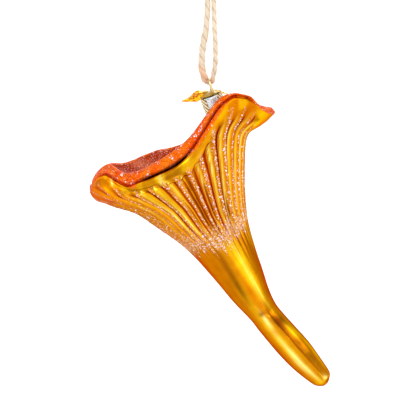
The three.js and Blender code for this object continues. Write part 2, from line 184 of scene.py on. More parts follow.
def piece(name, points, faces, finish, slot, smooth=True, **attributes):
    """A mesh object that rides on the ornament's one body. Each attribute has a value for each point."""
    mesh = bpy.data.meshes.new(name)
    mesh.from_pydata(np.asarray(points).tolist(), [], faces)
    for key, values in attributes.items():
        values = np.asarray(values, np.float32)
        if values.ndim == 1:
            mesh.attributes.new(key, "FLOAT", "POINT").data.foreach_set("value", values)
        else:
            mesh.attributes.new(key, "FLOAT_VECTOR", "POINT").data.foreach_set("vector", values.ravel())
    mesh.polygons.foreach_set("use_smooth", [smooth] * len(mesh.polygons))
    mesh.materials.append(finish)
    mesh.validate()
    made = put_in_scene(name, mesh)
    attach(made, "root")
    return made


def node_adder(tree):
    """A function that adds a node of some kind to a tree, or takes one that it has, and sets it up."""

    def add(kind, inputs, **settings):
        node = tree.nodes.new(kind) if isinstance(kind, str) else kind
        for key, value in settings.items():
            setattr(node, key, value)
        for key, value in inputs.items():
            if isinstance(value, bpy.types.NodeSocket):
                tree.links.new(value, node.inputs[key])
            else:
                node.inputs[key].default_value = value
        return node

    return add


def new_finish(name, **sockets):
    """A material, its shader with some sockets set, and a function that adds a node to it."""
    material = bpy.data.materials.new(name)
    material.use_nodes = True
    shader = material.node_tree.nodes["Principled BSDF"]
    add = node_adder(material.node_tree)
    add(shader, {key.replace("_", " "): value for key, value in sockets.items()})
    return material, shader, add


def carried(add, name, output="Fac"):
    """What a piece carries under this name at each of its points."""
    return add("ShaderNodeAttribute", {}, attribute_name=name).outputs[output]


def here(add):
    """The place of each point of a piece."""
    return add("ShaderNodeTexCoord", {}).outputs["Object"]


def mixed(add, share, first, second, way="MIX"):
    """Two colours mixed by a share, or the first one multiplied by the second."""
    inputs = {"Factor": share, "A": first, "B": second}
    return add("ShaderNodeMix", inputs, data_type="RGBA", blend_type=way).outputs["Result"]


def ramp(add, value, stops):
    """A colour ramp over a value: stops are (place, colour)."""
    node = add("ShaderNodeValToRGB", {"Fac": value})
    band = node.color_ramp.elements
    for i, (place, colour) in enumerate(stops):
        stop = band[i] if i < 2 else band.new(place)
        stop.position = place
        stop.color = (*colour, 1)
    return node.outputs["Color"]


def twine_surface(path, diameter):
    """Two plies round a path: points, faces, the place along the fibres, and how deep in the groove."""
    path = np.asarray(path, float)
    length = np.concatenate([[0], np.cumsum(np.linalg.norm(np.diff(path, axis=0), axis=1))])
    turn = np.linspace(0, 2 * np.pi, TWINE_SIDES, endpoint=False)
    lay = turn[None, :] + 2 * np.pi * length[:, None] / PLY_PITCH
    share = PLY_OFFSET * np.abs(np.cos(lay)) + np.sqrt(PLY_RADIUS**2 - (PLY_OFFSET * np.sin(lay)) ** 2)
    yarn = np.sin(9 * lay + 700 * length[:, None]) + np.sin(5 * lay - 1900 * length[:, None])
    uneven = np.sin(410 * length + 1) + 0.7 * np.sin(937 * length)
    half = np.reshape(diameter, (-1, 1)) / 2
    radius = half * (share + YARN_RELIEF * yarn + UNEVENNESS * uneven[:, None])
    points, faces = tube(path, radius)
    fibre = np.stack([3 * np.cos(lay), 3 * np.sin(lay), 260 * length[:, None] + 0 * lay], -1)
    groove = smoothstep(0.90, 0.72, share)
    return points, faces, fibre.reshape(-1, 3), groove.ravel()


def jute():
    """Pale straw fibres, with painted shade in the groove between the plies, tinted orange low and to the
    left, near the wire.
    """
    material, shader, add = new_finish("jute", Roughness=0.92, Sheen_Weight=0.25, Sheen_Roughness=0.5)
    fibre = carried(add, "fibre", "Vector")
    strands = add("ShaderNodeTexNoise", {"Vector": fibre, "Scale": 2.2, "Detail": 5.0, "Roughness": 0.65})
    tone = ramp(add, strands.outputs["Fac"], STRAW)
    shade = mixed(add, carried(add, "groove"), tone, GROOVE_BROWN)
    place = add("ShaderNodeSeparateXYZ", {"Vector": here(add)}).outputs
    low_left = add("ShaderNodeMath", {0: place["X"], 1: place["Z"]}, operation="ADD").outputs[0]
    orange_share = add("ShaderNodeMapRange", {"Value": low_left, "From Min": 0.0050, "From Max": -0.0005,
                                       "To Min": 0.0, "To Max": 0.42}, interpolation_type="SMOOTHSTEP")
    tint = mixed(add, orange_share.outputs["Result"], shade, ORANGE_TINT)
    relief = add("ShaderNodeBump", {"Height": strands.outputs["Fac"], "Strength": 0.6, "Distance": 0.00015})
    add(shader, {"Base Color": tint, "Normal": relief.outputs["Normal"]})
    return material


jute_finish = jute()
along = np.linspace(0, 1, TWINE_STEPS)
twine_path = spline(TWINE_ROUTE, along)
# The twine is fuller along its left strand, and the wire presses it thin where it bends.
fuller = 0.34 * smoothstep(0.0, 0.2, along) * smoothstep(0.47, 0.36, along) + 0.03 * np.sin(47 * along)
fuller = fuller - 0.38 * spot(along, 0.495, 0.055) - 0.2 * spot(along, 0.455, 0.03)
fuller = fuller - 0.02 * smoothstep(0.55, 0.65, along)
points, faces, fibre, groove = twine_surface(twine_path, TWINE_DIAMETER * (1 + fuller))
twine = piece("twine_two_ply", points, faces, jute_finish, "twine", fibre=fibre, groove=groove)
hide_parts("twine_loop")

# ---------------------------------------------------------------- loose fibres
# The fine short hairs that stand off the jute. Each is rooted in a ply and curls away along it, and
# they are thickest on the left strand, near the knot.
HAIR_COUNT = 760
HAIR_RADIUS = 0.00004
HAIR_STEPS = 6
HAIR_SIDES = 4
ROOT_DEPTH = 0.36  # of the twine's diameter, from its middle


def joined(parts):
    """Several (points, faces, ...) as one: the faces are renumbered and every other array is stacked."""
    faces = []
    count = 0
    for part in parts:
        faces += [[i + count for i in face] for face in part[1]]
        count += len(part[0])
    stacks = [np.concatenate(arrays) for arrays in zip(*[(p[0], *p[2:]) for p in parts])]
    return (stacks[0], faces, *stacks[1:])


random = np.random.default_rng(11)
run = np.linspace(0, 1, HAIR_STEPS)[:, None]
hair_radii = HAIR_RADIUS * np.linspace(1.2, 0.5, HAIR_STEPS)[:, None] * np.ones((1, HAIR_SIDES))
first_root = 4
last_root = TWINE_STEPS - 5
hairs = []
for _ in range(HAIR_COUNT):
    i = int(first_root + (last_root - first_root) * random.random() ** 1.5)
    ahead = unit(twine_path[i + 1] - twine_path[i - 1])
    out = unit(np.cross(ahead, random.normal(size=3)))
    root = twine_path[i] + out * TWINE_DIAMETER * ROOT_DEPTH * (1 + fuller[i])
    lean = random.choice([-1, 1]) * random.uniform(0.5, 1.6)
    reach = random.uniform(0.0006, 0.0016) + 0.0012 * random.random() ** 4
    curl = unit(np.cross(ahead, out)) * random.uniform(-0.5, 0.5)
    path = root + reach * (out * (0.75 * run - 0.25 * run**2) + ahead * lean * run**1.4 + curl * run**2)
    hairs.append(tube(path, hair_radii))
points, faces = joined(hairs)
steady = np.ones(len(points))
fibres = piece("twine_loose_fibres", points, faces, jute_finish, "twine",
               fibre=np.outer(steady, (1, 1, 1)), groove=0 * steady)

# ---------------------------------------------------------------- twine knot
# The two ends of the twine, tied together in one overhand knot. It is pulled tight, closes the loop,
# and leaves two short tails above it.
KNOT_MIDDLE = np.array((0.0009, 0, 0.0387))
KNOT_BEND = (  # one strand's way round, from the knot's middle
    (-0.0009, -0.0009, -0.0020), (-0.0019, -0.0013, -0.0003), (-0.0013, -0.0017, 0.0014),
    (0.0003, -0.0016, 0.0020), (0.0017, -0.0008, 0.0014), (0.0021, 0.0006, 0.0001),
    (0.0012, 0.0016, -0.0012), (-0.0003, 0.0018, -0.0013), (-0.0016, 0.0011, -0.0006),
    (-0.0014, 0.0001, 0.0005), (-0.0004, -0.0001, 0.0014),
)
KNOT_STEPS = 150
PULLED_TIGHT_DIAMETER = 0.0021
TAIL_CUTS = (0.0006, 0.0019)  # how far below the knot's top each tail is cut off

knot_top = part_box("twine_knot")[1].z
strands = []
for side, cut in zip((-1, 1), TAIL_CUTS):
    start = (0.0013 * side, 0, -0.0036)
    bend = np.array(KNOT_BEND) * (-side, side, 1) + (0.0005 * side, 0.0003 * side, 0)
    tail = [(0.0011 * side, 0.0002 * side, 0.0026), (0.0018 * side, 0.0004 * side, 0.0045),
            (0.0027 * side, 0.0006 * side, knot_top - cut - KNOT_MIDDLE[2])]
    path = spline(np.vstack([[start], bend, tail]), np.linspace(0, 1, KNOT_STEPS)) + KNOT_MIDDLE
    strands.append(twine_surface(path, PULLED_TIGHT_DIAMETER))
points, faces, fibre, groove = joined(strands)
knot = piece("twine_overhand_knot", points, faces, jute_finish, "twine", fibre=fibre, groove=groove)
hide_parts("twine_knot")

# ---------------------------------------------------------------- glass body
# One shell of thin glass, blown into a mould: a solid-looking stem, gills that fan out from it, a
# rolled cap margin and the bowl inside. It is silvered within and lacquered without.
LEFT_EDGE = (  # x, half the depth, z of each section, from the tip up
    (0.0496, 0.0014, -0.1334), (0.0475, 0.0030, -0.1334), (0.0446, 0.0046, -0.1322),
    (0.0371, 0.0059, -0.1263), (0.0303, 0.0063, -0.1194), (0.0224, 0.0060, -0.1099),
    (0.0178, 0.0063, -0.1040), (0.0106, 0.0079, -0.0964), (0.0018, 0.0110, -0.0858),
    (-0.0099, 0.0150, -0.0728), (-0.0224, 0.0190, -0.0628), (-0.0313, 0.0220, -0.0569),
    (-0.0424, 0.0252, -0.0540), (-0.0482, 0.0270, -0.0524), (-0.0508, 0.0278, -0.0494),
    (-0.0512, 0.0280, -0.0464),
)
RIGHT_EDGE = (
    (0.0518, 0.0014, -0.1316), (0.0524, 0.0030, -0.1297), (0.0521, 0.0046, -0.1266),
    (0.0468, 0.0059, -0.1190), (0.0410, 0.0063, -0.1117), (0.0330, 0.0060, -0.1023),
    (0.0289, 0.0063, -0.0970), (0.0259, 0.0079, -0.0904), (0.0233, 0.0110, -0.0822),
    (0.0195, 0.0150, -0.0710), (0.0161, 0.0190, -0.0600), (0.0148, 0.0220, -0.0505),
    (0.0147, 0.0252, -0.0360), (0.0161, 0.0270, -0.0241), (0.0221, 0.0278, -0.0193),
    (0.0281, 0.0280, -0.0150),
)
TIP = (0.0508, 0, -0.1328)
GILL_EDGE = (  # where the gills end, from the right lobe by way of the front
    (0.0281, 0, -0.0150), (0.0240, -0.0110, -0.0129), (0.0155, -0.0195, -0.0089),
    (0.0055, -0.0250, -0.0116), (-0.0090, -0.0280, -0.0335), (-0.0225, -0.0270, -0.0411),
    (-0.0345, -0.0225, -0.0444), (-0.0448, -0.0130, -0.0408), (-0.0512, 0, -0.0464),
    (-0.0465, 0.0125, -0.0460), (-0.0360, 0.0220, -0.0460), (-0.0240, 0.0270, -0.0410),
    (-0.0100, 0.0285, -0.0365), (0.0010, 0.0265, -0.0260), (0.0130, 0.0195, -0.0180),
    (0.0235, 0.0105, -0.0158),
)
ROLL_TOP = (  # the top of the rolled margin
    (0.0266, 0, -0.0122), (0.0218, -0.0105, -0.0103), (0.0146, -0.0180, -0.0046),
    (0.0045, -0.0235, -0.0058), (-0.0095, -0.0260, -0.0232), (-0.0240, -0.0255, -0.0334),
    (-0.0350, -0.0205, -0.0378), (-0.0425, -0.0115, -0.0350), (-0.0460, 0, -0.0401),
    (-0.0430, 0.0110, -0.0377), (-0.0350, 0.0205, -0.0379), (-0.0240, 0.0255, -0.0339),
    (-0.0100, 0.0270, -0.0300), (0, 0.0250, -0.0179), (0.0130, 0.0180, -0.0116),
    (0.0226, 0.0100, -0.0128),
)
MARGIN_PROFILE = (  # share of the way from the gills' end to the roll's top, and the way out
    (0, 0), (0.12, 0.0007), (0.24, 0.0009), (0.33, 0.0004), (0.385, -0.0009), (0.44, -0.0007),
    (0.50, 0.0004), (0.62, 0.0012), (0.76, 0.0014), (0.90, 0.0009), (1.0, 0), (1.02, -0.0010),
    (0.97, -0.0020), (0.86, -0.0029),
)
PROFILE_CREASE = 0.405
CREASE_TURNS = (0, 20, 33, 44, 49, 56, 61, 106, 112, 118, 124, 147, 158, 180)
CREASE_SHARES = (0.40, 0.40, 0.72, 0.76, 0.57, 0.48, 0.41, 0.41, 0.30, 0.19, 0.24, 0.24, 0.15, 0.12)
CREASE_DEPTH = 0.0013
RIB_COUNT = 36
RIB_CROWDING = 0.08  # radians, towards the steep right side
RIB_PHASE = 2.76  # radians, which puts a crest where the front needs one
RIB_HEIGHT = 0.0009
RIB_FAN = 0.3  # radians, over the whole margin
LOBE_FAN = 0.52  # radians, on the left lobe
RIGHT_FAN = 0.13  # radians, beside the right lobe
RIBS_START = 8.3  # this and the next two count the sections from the tip
FLARE_START = 11
BEAK_START = 13
TOP_SECTION = len(LEFT_EDGE) - 1
DRAWN_LINE_HEIGHT = 0.000012
STEM_SWELL = 0.0006
FACET_HEIGHT = 0.0004
FOLD_DEPTH = 0.0005
PINCH_DEPTH = 0.00035
BEAK_SWELL = 0.0007
BEAK_ROLL = 0.0012
ROLL_WOBBLE = 0.0002
LIP_BUMPS = 0.00022
RIGHT_RISE = 0.0004
BOWL_FOLDS = 0.0005
COLUMNS = 10 * RIB_COUNT
STEM_ROWS = 84
GILL_ROWS = 88
MARGIN_ROWS = 44
BOWL_ROWS = 36

CROWN_LEAN = math.radians(21)
UP = np.array((-math.sin(CROWN_LEAN), 0, math.cos(CROWN_LEAN)))
ACROSS = np.array((math.cos(CROWN_LEAN), 0, math.sin(CROWN_LEAN)))
FRONT = np.array((0, -1, 0))
NECK_X = -0.0017
NECK_FOOT_Z = -0.0240
NECK_FOOT_RADIUS = 0.0065
NECK_RADIUS = 0.0042
NECK_LIP_Z = -0.0077
NECK_ROWS = (  # height and radius
    (NECK_FOOT_Z + 0.001, 0.0049), (-0.0222, 0.0044), (-0.0214, NECK_RADIUS), (NECK_LIP_Z, NECK_RADIUS),
)


def on_section(section, turn):
    """The plain oval through a section. The turn goes from +X by way of the front."""
    left = spline(LEFT_EDGE, section / TOP_SECTION)
    right = spline(RIGHT_EDGE, section / TOP_SECTION)
    depth = (left[..., 1] + right[..., 1]) / 2
    flat = np.array((1, 0, 1))
    centre = (left + right) / 2 * flat
    half = (right - left) / 2 * flat
    return centre + half * np.cos(turn)[..., None] + FRONT * (depth * np.sin(turn))[..., None]


def margin_share(turn):
    """How far round the margin's line a turn lies, from 0 to 1."""
    return (turn + RIB_FAN * np.sin(turn)) / (2 * np.pi)


def on_trumpet(section, turn):
    """The gill side without its ribs, which rises and slides to the margin's wavy line."""
    way = np.maximum(0, (section - FLARE_START) / (TOP_SECTION - FLARE_START))
    slide = way**3
    rise = way - np.sin(2 * np.pi * way) / (4 * np.pi)
    top = on_section(TOP_SECTION + 0 * section, turn)
    wave = spline(GILL_EDGE, margin_share(turn), closed=True) - top
    return on_section(section, turn) + wave * np.stack([slide, slide, rise], -1)


def outward(section, turn):
    """The way straight out of the gill side."""
    step = 0.02
    around = on_trumpet(section, turn + step) - on_trumpet(section, turn - step)
    upper = on_trumpet(np.minimum(section + step, TOP_SECTION), turn)
    return unit(np.cross(upper - on_trumpet(section - step, turn), around))


def around_angle(turn):
    """Degrees from +X, 0 to 180, the same by way of the front and of the back."""
    return np.degrees(np.abs(np.angle(np.exp(1j * turn))))


def rib_angle(section, turn):
    """The angle at which a rib starts: on both lobes they fan out as they climb."""
    side = around_angle(turn)
    bend = LOBE_FAN * smoothstep(11.4, 14.6, section) * smoothstep(105, 178, side)
    bend = bend + RIGHT_FAN * smoothstep(11.6, 14.8, section) * spot(side, 60, 15)
    return turn - bend * np.sign(np.sin(turn))


def rib_phase(section, turn):
    """Nought on a rib's crest and pi in the groove between two, with a hand-made unevenness."""
    sway = 0.25 * np.sin(3 * turn + 0.7 * section) + 0.2 * np.sin(7 * turn - 0.5 * section + 2)
    straight = rib_angle(section, turn)
    return RIB_COUNT * (straight + RIB_CROWDING * np.sin(straight)) + RIB_PHASE + sway


def rib_draw(section, turn, seed):
    """A number from 0 to 1 for each rib, the same all along it."""
    number = np.round(rib_phase(section, turn) / (2 * np.pi))
    return np.mod(np.sin(number * 12.9898 + seed * 78.233) * 43758.5453, 1)


def fold_angle(section):
    """Degrees from +X of the fold that divides the right lobe's beak from the gills."""
    return np.interp(section, (13.2, 13.6, 14.3, 15), (6, 14, 19, 26))


def beak(section, turn):
    """One on the right lobe, which is a plain rounded beak beyond the fold."""
    fold = fold_angle(section)
    inside = smoothstep(fold + 3, fold - 3, around_angle(turn))
    return inside * smoothstep(BEAK_START, BEAK_START + 0.5, section)


def rib_end(section, turn):
    """The ribs die away below the lip: sharply in the middle, and slowly on both lobes."""
    side = around_angle(turn)
    end = np.interp(side, (20, 35, 44, 58, 66, 74, 85, 100, 112, 125, 160, 180),
                    (15.2, 15.2, 14.7, 14.6, 14.4, 14.8, 15.0, 14.7, 14.8, 15.0, 15.0, 14.6))
    length = np.interp(side, (40, 60, 72, 82, 92, 105, 120), (2.0, 2.0, 1.5, 0.9, 0.5, 0.5, 1.2))
    gone = smoothstep(11.2, 12.6, section) * smoothstep(137, 141, around_angle(rib_angle(section, turn)))
    return smoothstep(end, end - length, section) * (1 - gone)


def on_gills(section, turn):
    """The stem and the gills: ribs, and the small uneven forms that a mould and hand work leave."""
    side = around_angle(turn)
    blunt = 2.1 - 0.8 * smoothstep(105, 140, side)
    crest = 1 - 2 * np.abs(np.sin(rib_phase(section, turn) / 2)) ** blunt
    rise = smoothstep(RIBS_START, RIBS_START + 2.6, section)
    fall = rib_end(section, turn) * (1 - beak(section, turn))
    uneven = 1 + 0.25 * np.sin(5 * turn + 2) * np.sin(1.3 * section + 4 * turn)
    uneven = uneven * (1 - 0.7 * smoothstep(110, 126, side) * smoothstep(12.0, 13.4, section))
    lines = np.sin(31 * turn + 3 * np.sin(2 * turn)) + 0.7 * np.sin(53 * turn + 1)
    drawn = DRAWN_LINE_HEIGHT * lines * smoothstep(6.2, 7.4, section) * smoothstep(10, 9, section)
    swell = STEM_SWELL * spot(section, 3.7, 0.9) * spot(side, 30, 40)
    facet = FACET_HEIGHT * spot(side, 74, 14)
    facet = facet * smoothstep(0.8, 2.2, section) * smoothstep(6.2, 5.4, section)
    fold = spot(side, fold_angle(section), 2.5) * smoothstep(BEAK_START, BEAK_START + 0.6, section)
    pinch = spot(section, 6.05 + 0.042 * (side - 84), 0.09) * spot(side, 90, 15)
    stature = (0.7 + 0.5 * rib_draw(section, turn, 1)) * (crest + 1) - 1
    height = RIB_HEIGHT * rise * fall * stature * uneven
    height = height + drawn + facet + swell - FOLD_DEPTH * fold - PINCH_DEPTH * pinch
    height = height + BEAK_SWELL * beak(section, turn) * smoothstep(TOP_SECTION, 14.3, section)
    return on_trumpet(section, turn) + outward(section, turn) * height[..., None]


def crease_share(turn):
    """How far up the margin its crease lies."""
    return np.interp(around_angle(turn), CREASE_TURNS, CREASE_SHARES)


def crease_depth(turn):
    """The crease is a deep slit over the middle of the front. Elsewhere it has no slit."""
    front = np.sin(turn) > 0
    side = around_angle(turn)
    return CREASE_DEPTH * smoothstep(69, 77, side) * smoothstep(108, 102, side) * front


def margin_shape(place, turn):
    """The share of the way up the margin and the way out, at a place from 0 to 1 along it."""
    share, out = np.moveaxis(spline([(a, b, 0) for a, b in MARGIN_PROFILE], place), -1, 0)[:2]
    crease = crease_share(turn)
    side = around_angle(turn)
    low = share / PROFILE_CREASE * crease
    high = crease + (share - PROFILE_CREASE) / (1 - PROFILE_CREASE) * (1 - crease)
    moved = np.where(share < PROFILE_CREASE, low, np.where(share < 1, high, share))
    moved = np.where(place > 0.75, share, moved)
    rounded = BEAK_ROLL * np.sin(np.pi * np.clip(share, 0, 1) ** 0.9) + 0.0001
    out = np.where(place < 0.72, out + (rounded - out) * smoothstep(30, 16, side), out)
    lip = np.where(share < PROFILE_CREASE, crease / PROFILE_CREASE, 1)
    lip = np.minimum(1.15, lip) * (1 - 0.5 * smoothstep(34, 20, side))
    shallow = 1 - (place < 0.6) * np.interp(side, (22, 32, 38, 60, 72), (0.9, 0.5, 0.45, 0.45, 0))
    return moved, out * np.where(out > 0, lip, shallow)


def on_margin(place, turn):
    """A point of the rolled margin, at a place along its profile."""
    share, out = margin_shape(place, turn)
    around = margin_share(turn)
    edge = spline(GILL_EDGE, around, closed=True)
    rise = spline(ROLL_TOP, around, closed=True) - edge
    along = spline(GILL_EDGE, around + 0.002, closed=True) - spline(GILL_EDGE, around - 0.002, closed=True)
    deep = crease_depth(turn) * spot(share, crease_share(turn), 0.06) * (place < 0.6)
    wobble = ROLL_WOBBLE * np.sin(19 * turn + 9 * share) * np.sin(8 * turn) * smoothstep(0.5, 0.7, share)
    rise = rise + np.array((0, 0, 1)) * (RIGHT_RISE * spot(around_angle(turn), 9, 11))[..., None]
    bumps = LIP_BUMPS * (np.sin(14 * turn + 1) + np.sin(23 * turn)) * spot(share, 0.22, 0.12)
    bumps = bumps * (place < 0.5)
    height = out - deep + wobble + bumps
    return edge + rise * share[..., None] + unit(np.cross(rise, along)) * height[..., None]


def on_neck(z, radius, turn):
    """A point of the neck, which leans with the crown."""
    return (
        ACROSS * (NECK_X + radius * np.cos(turn))[..., None]
        + FRONT * (radius * np.sin(turn))[..., None]
        + UP * (z + 0 * turn)[..., None]
    )


def on_bowl(share, turn):
    """The bowl's wall, from the rim's inner edge at 0 to the foot of the neck at 1."""
    rim = on_margin(1 + 0 * turn, turn)
    foot = on_neck(NECK_FOOT_Z, NECK_FOOT_RADIUS, turn)
    span = foot - rim
    sag = 0.42 * np.maximum(0, np.linalg.norm(span, axis=-1, keepdims=True) - 0.012)
    near_rim = rim + 0.22 * span - UP * sag
    near_foot = foot - 0.3 * span
    a = share[..., None]
    b = 1 - a
    plain = b**3 * rim + 3 * a * b**2 * near_rim + 3 * a**2 * b * near_foot + a**3 * foot
    middle = np.sin(np.pi * share) ** 2
    folds = BOWL_FOLDS * middle * (np.sin(9 * turn + 3 * share) + 0.6 * np.sin(17 * turn - 5 * share))
    return plain + UP * folds[..., None]


def even_turns(count):
    """Turns that share the ribs out evenly: they crowd to the steep right side."""
    share = 2 * np.pi * np.arange(count) / count
    turn = share.copy()
    for _ in range(30):
        turn = share - RIB_CROWDING * np.sin(turn)
    return turn


def rows(places, make):
    """Rows of points, one for each place."""
    place, turn = np.meshgrid(places, turns, indexing="ij")
    return make(place, turn)


turns = even_turns(COLUMNS)
stem_places = np.linspace(0, RIBS_START, STEM_ROWS)[:-1]
to_the_lip = 1 - (1 - np.linspace(0, 1, GILL_ROWS)) ** 1.15
gill_places = RIBS_START + (TOP_SECTION - RIBS_START) * to_the_lip
margin_places = np.linspace(0, 1, MARGIN_ROWS)[1:]
bowl_places = np.linspace(0, 1, BOWL_ROWS)[1:]
first_oval = on_section(0 * turns, turns)
nub = [first_oval * share + np.array(TIP) * (1 - share) for share in (0.2, 0.45, 0.7, 0.9)]
glass_rows = np.concatenate([
    np.array(nub),
    rows(stem_places, on_gills),
    rows(gill_places, on_gills),
    rows(margin_places, on_margin),
    rows(bowl_places, on_bowl),
    np.array([on_neck(z, radius + 0 * turns, turns) for z, radius in NECK_ROWS]),
])
# The place of each row along the glass: below 0 on the tip's nub, 0 to 15 up the stem and the gills,
# to 16 over the margin, to 17 down the bowl, and to 18 up the neck.
row_places = np.concatenate([
    [-0.4, -0.3, -0.2, -0.1], stem_places, gill_places, TOP_SECTION + margin_places,
    TOP_SECTION + 1 + bowl_places, TOP_SECTION + 2 + np.linspace(0.25, 1, len(NECK_ROWS)),
])
place, turn = np.meshgrid(row_places, turns, indexing="ij")


def spread(seed, stretch=1, low=1, high=9, waves=9):
    """A smooth random pattern over the glass, from about -1 to 1, with low to high waves round it."""
    draw = np.random.default_rng(seed)
    total = 0 * place
    for _ in range(waves):
        around = draw.integers(low, high)
        along = draw.uniform(0.4, 2.4) * draw.choice([-1, 1])
        total = total + np.sin(around * turn + along * (stretch * place) + draw.uniform(0, 6.3))
    return total / np.sqrt(waves)


def mix(a, b, share):
    """Two colours, or grids of them, mixed by a share for each point."""
    return a + (b - a) * np.clip(share, 0, 1)[..., None]


def coated(colour, coats):
    """A colour after some coats of others, each with how thick it lies from 0 to 1."""
    for tint, thickness in coats:
        colour = mix(colour, tint, thickness)
    return colour


# The lacquer and the enamel, in linear red, green and blue. Along the ribs and down the stem the lacquer
# carries painted light: yellow and pale for painted highlights, and brown, olive and deep shade for painted
# shade and painted dark reflections. Towards the grooves the brown is partly thicker lacquer and partly
# painted shade.
AMBER = np.array((0.62, 0.25, 0.002))
ORANGE = np.array((0.66, 0.19, 0.002))
YELLOW = np.array((1.0, 0.62, 0.006))
PALE_HIGHLIGHT = np.array((1.0, 0.90, 0.25))
BROWN = np.array((0.26, 0.055, 0.001))
DARK_AMBER = np.array((0.48, 0.15, 0.001))
OCHRE = np.array((0.46, 0.21, 0.003))
OLIVE = np.array((0.30, 0.115, 0.002))
RUST = np.array((0.44, 0.115, 0.001))
DEEP_ORANGE = np.array((0.66, 0.155, 0.0005))
DEEP_SHADE = np.array((0.085, 0.016, 0.001))
LOBE_ORANGE = np.array((0.80, 0.23, 0.0005))
SAND = np.array((0.92, 0.42, 0.11))
ORANGE_RED = np.array((0.90, 0.10, 0.001))
TANGERINE = np.array((0.97, 0.20, 0.002))
DEEP_RED = np.array((0.42, 0.006, 0.0005))
PINK_RED = np.array((0.90, 0.06, 0.05))
BLACK = np.array((0.006, 0.003, 0.002))
MAROON = np.array((0.49, 0.043, 0.006))
DUSTY_ROSE = np.array((0.86, 0.25, 0.11))
SILVER = np.array((0.80, 0.76, 0.66))
SEALED_TIP = 0.4 * BROWN
LIGHT_GOLD = np.array((0.94, 0.44, 0.004))
# Each streak: its place, its turn in degrees, the degrees that it slants for each place up, half its
# length in places, half its width in degrees, its colour and its strength. The yellow and pale streaks
# are painted highlights, the brown, olive, rust and deep shade ones painted dark reflections, and the
# orange ones lie between them.
LIGHT_AND_SHADE_STREAKS = (
    (8.4, 67, -2, 1.3, 15, YELLOW, 1), (7.3, 58, 3, 1.2, 8, YELLOW, 0.9),
    (8.2, 64, -2, 1.0, 2.5, PALE_HIGHLIGHT, 0.3), (7.3, 58, 2, 0.8, 2.5, PALE_HIGHLIGHT, 0.4),
    (8.9, 72, 3, 0.6, 1.2, RUST, 0.45), (8.6, 46, 4, 0.8, 1.2, RUST, 0.5),
    (8.3, 84, -4, 1.2, 5, ORANGE, 0.6), (7.3, 82, -2, 0.8, 7, DEEP_ORANGE, 0.8),
    (8.0, 101, -5, 1.3, 8, BROWN, 0.85), (7.4, 105, -3, 0.5, 6, DEEP_SHADE, 0.7),
    (7.2, 124, -6, 1.6, 12, RUST, 0.7), (7.9, 30, 2, 1.6, 9, RUST, 0.5),
    (4.3, 104, 0, 2.3, 17, YELLOW, 0.8), (5.45, 97, -3, 0.5, 7, PALE_HIGHLIGHT, 0.95),
    (4.8, 101, 0, 0.13, 12, ORANGE, 0.6), (3.3, 102, 1, 1.2, 7, PALE_HIGHLIGHT, 1),
    (3.1, 112, 0, 0.5, 9, PALE_HIGHLIGHT, 0.5), (4.4, 128, 0, 1.8, 7, ORANGE, 0.7),
    (6.0, 96, 0, 0.14, 12, BROWN, 0.8), (4.95, 54, 6, 0.5, 20, DEEP_SHADE, 0.95),
    (4.2, 64, 3, 1.2, 8, BROWN, 0.85), (5.0, 66, 3, 0.5, 9, DEEP_SHADE, 0.95),
    (4.0, 56, 4, 0.22, 9, DEEP_SHADE, 0.85), (4.45, 40, 4, 0.3, 12, YELLOW, 0.7),
    (3.0, 70, 2, 1.3, 4, RUST, 0.8), (3.2, 54, 2, 0.9, 14, OLIVE, 0.85),
    (3.3, 24, 0, 1.1, 9, YELLOW, 0.7), (3.4, 6, 0, 2.6, 8, RUST, 0.8),
    (1.85, 66, 0, 0.2, 13, PALE_HIGHLIGHT, 1), (2.0, 84, 0, 0.3, 5, BROWN, 0.8),
    (1.15, 62, 0, 0.2, 15, DEEP_SHADE, 1), (4.0, 150, 0, 2.0, 14, RUST, 0.6),
    (1.6, 92, 0, 0.6, 40, YELLOW, 0.5), (7.8, 240, 6, 1.6, 14, YELLOW, 0.9),
    (7.6, 238, 6, 1.3, 5, PALE_HIGHLIGHT, 0.6), (7.6, 275, -8, 1.3, 10, OLIVE, 0.8),
    (4.0, 262, 2, 2.0, 12, PALE_HIGHLIGHT, 0.8), (4.6, 300, 4, 0.9, 12, RUST, 0.7),
    (3.2, 215, 0, 1.5, 12, RUST, 0.6),
)
# Where the enamel ends on the margin: degrees from +X, and shares of the way up from the gills' end.
ENAMEL_TURNS = (
    0, 15, 22, 27, 33, 40, 46, 51, 55, 60, 66, 70, 74,
    105, 108, 112, 116, 124, 136, 147, 158, 163, 167, 172, 180,
)
ENAMEL_SHARES = (
    0.02, -0.02, 0.05, 0.35, 0.80, 0.80, 0.50, 0.22, 0.08, 0.02, 0.06, 0.26, 0.405,
    0.415, 0.29, 0.04, 0.125, 0.25, 0.27, 0.25, 0.08, -0.08, -0.5, -0.9, -0.9,
)

# Each point's angle from +X, its place across its rib, and three numbers that each rib has drawn.
in_gills = np.minimum(place, TOP_SECTION)
side = around_angle(turn)
phase = np.angle(np.exp(1j * rib_phase(in_gills, turn))) * np.sign(np.sin(turn) + 1e-9)
crest = (1 + np.cos(phase)) / 2
draw_a, draw_b, draw_c = (rib_draw(in_gills, turn, seed) for seed in (2, 3, 4))

# The parts of the gills that are painted in their own way.
on_beak = beak(in_gills, turn)
ribbed = smoothstep(8.8, 10.2, place) * np.sqrt(rib_end(place, turn)) * (1 - on_beak)
plain_lobe = smoothstep(112, 138, side)
right_ribs = smoothstep(76, 64, side)
middle_ribs = smoothstep(70, 76, side) * smoothstep(114, 100, side)
crowded = spot(side, 84, 11)
top_band = smoothstep(TOP_SECTION - 1.3, TOP_SECTION - 0.2, place) * (1 - on_beak)
lip_front = smoothstep(68, 76, side) * smoothstep(128, 116, side)
lip_edge = np.interp(side, (66, 74, 85, 100, 112, 125), (14.5, 14.85, 15.0, 14.75, 14.85, 15.0))
under_lip = spot(place, lip_edge, 0.13) * smoothstep(66, 72, side) * smoothstep(135, 120, side)
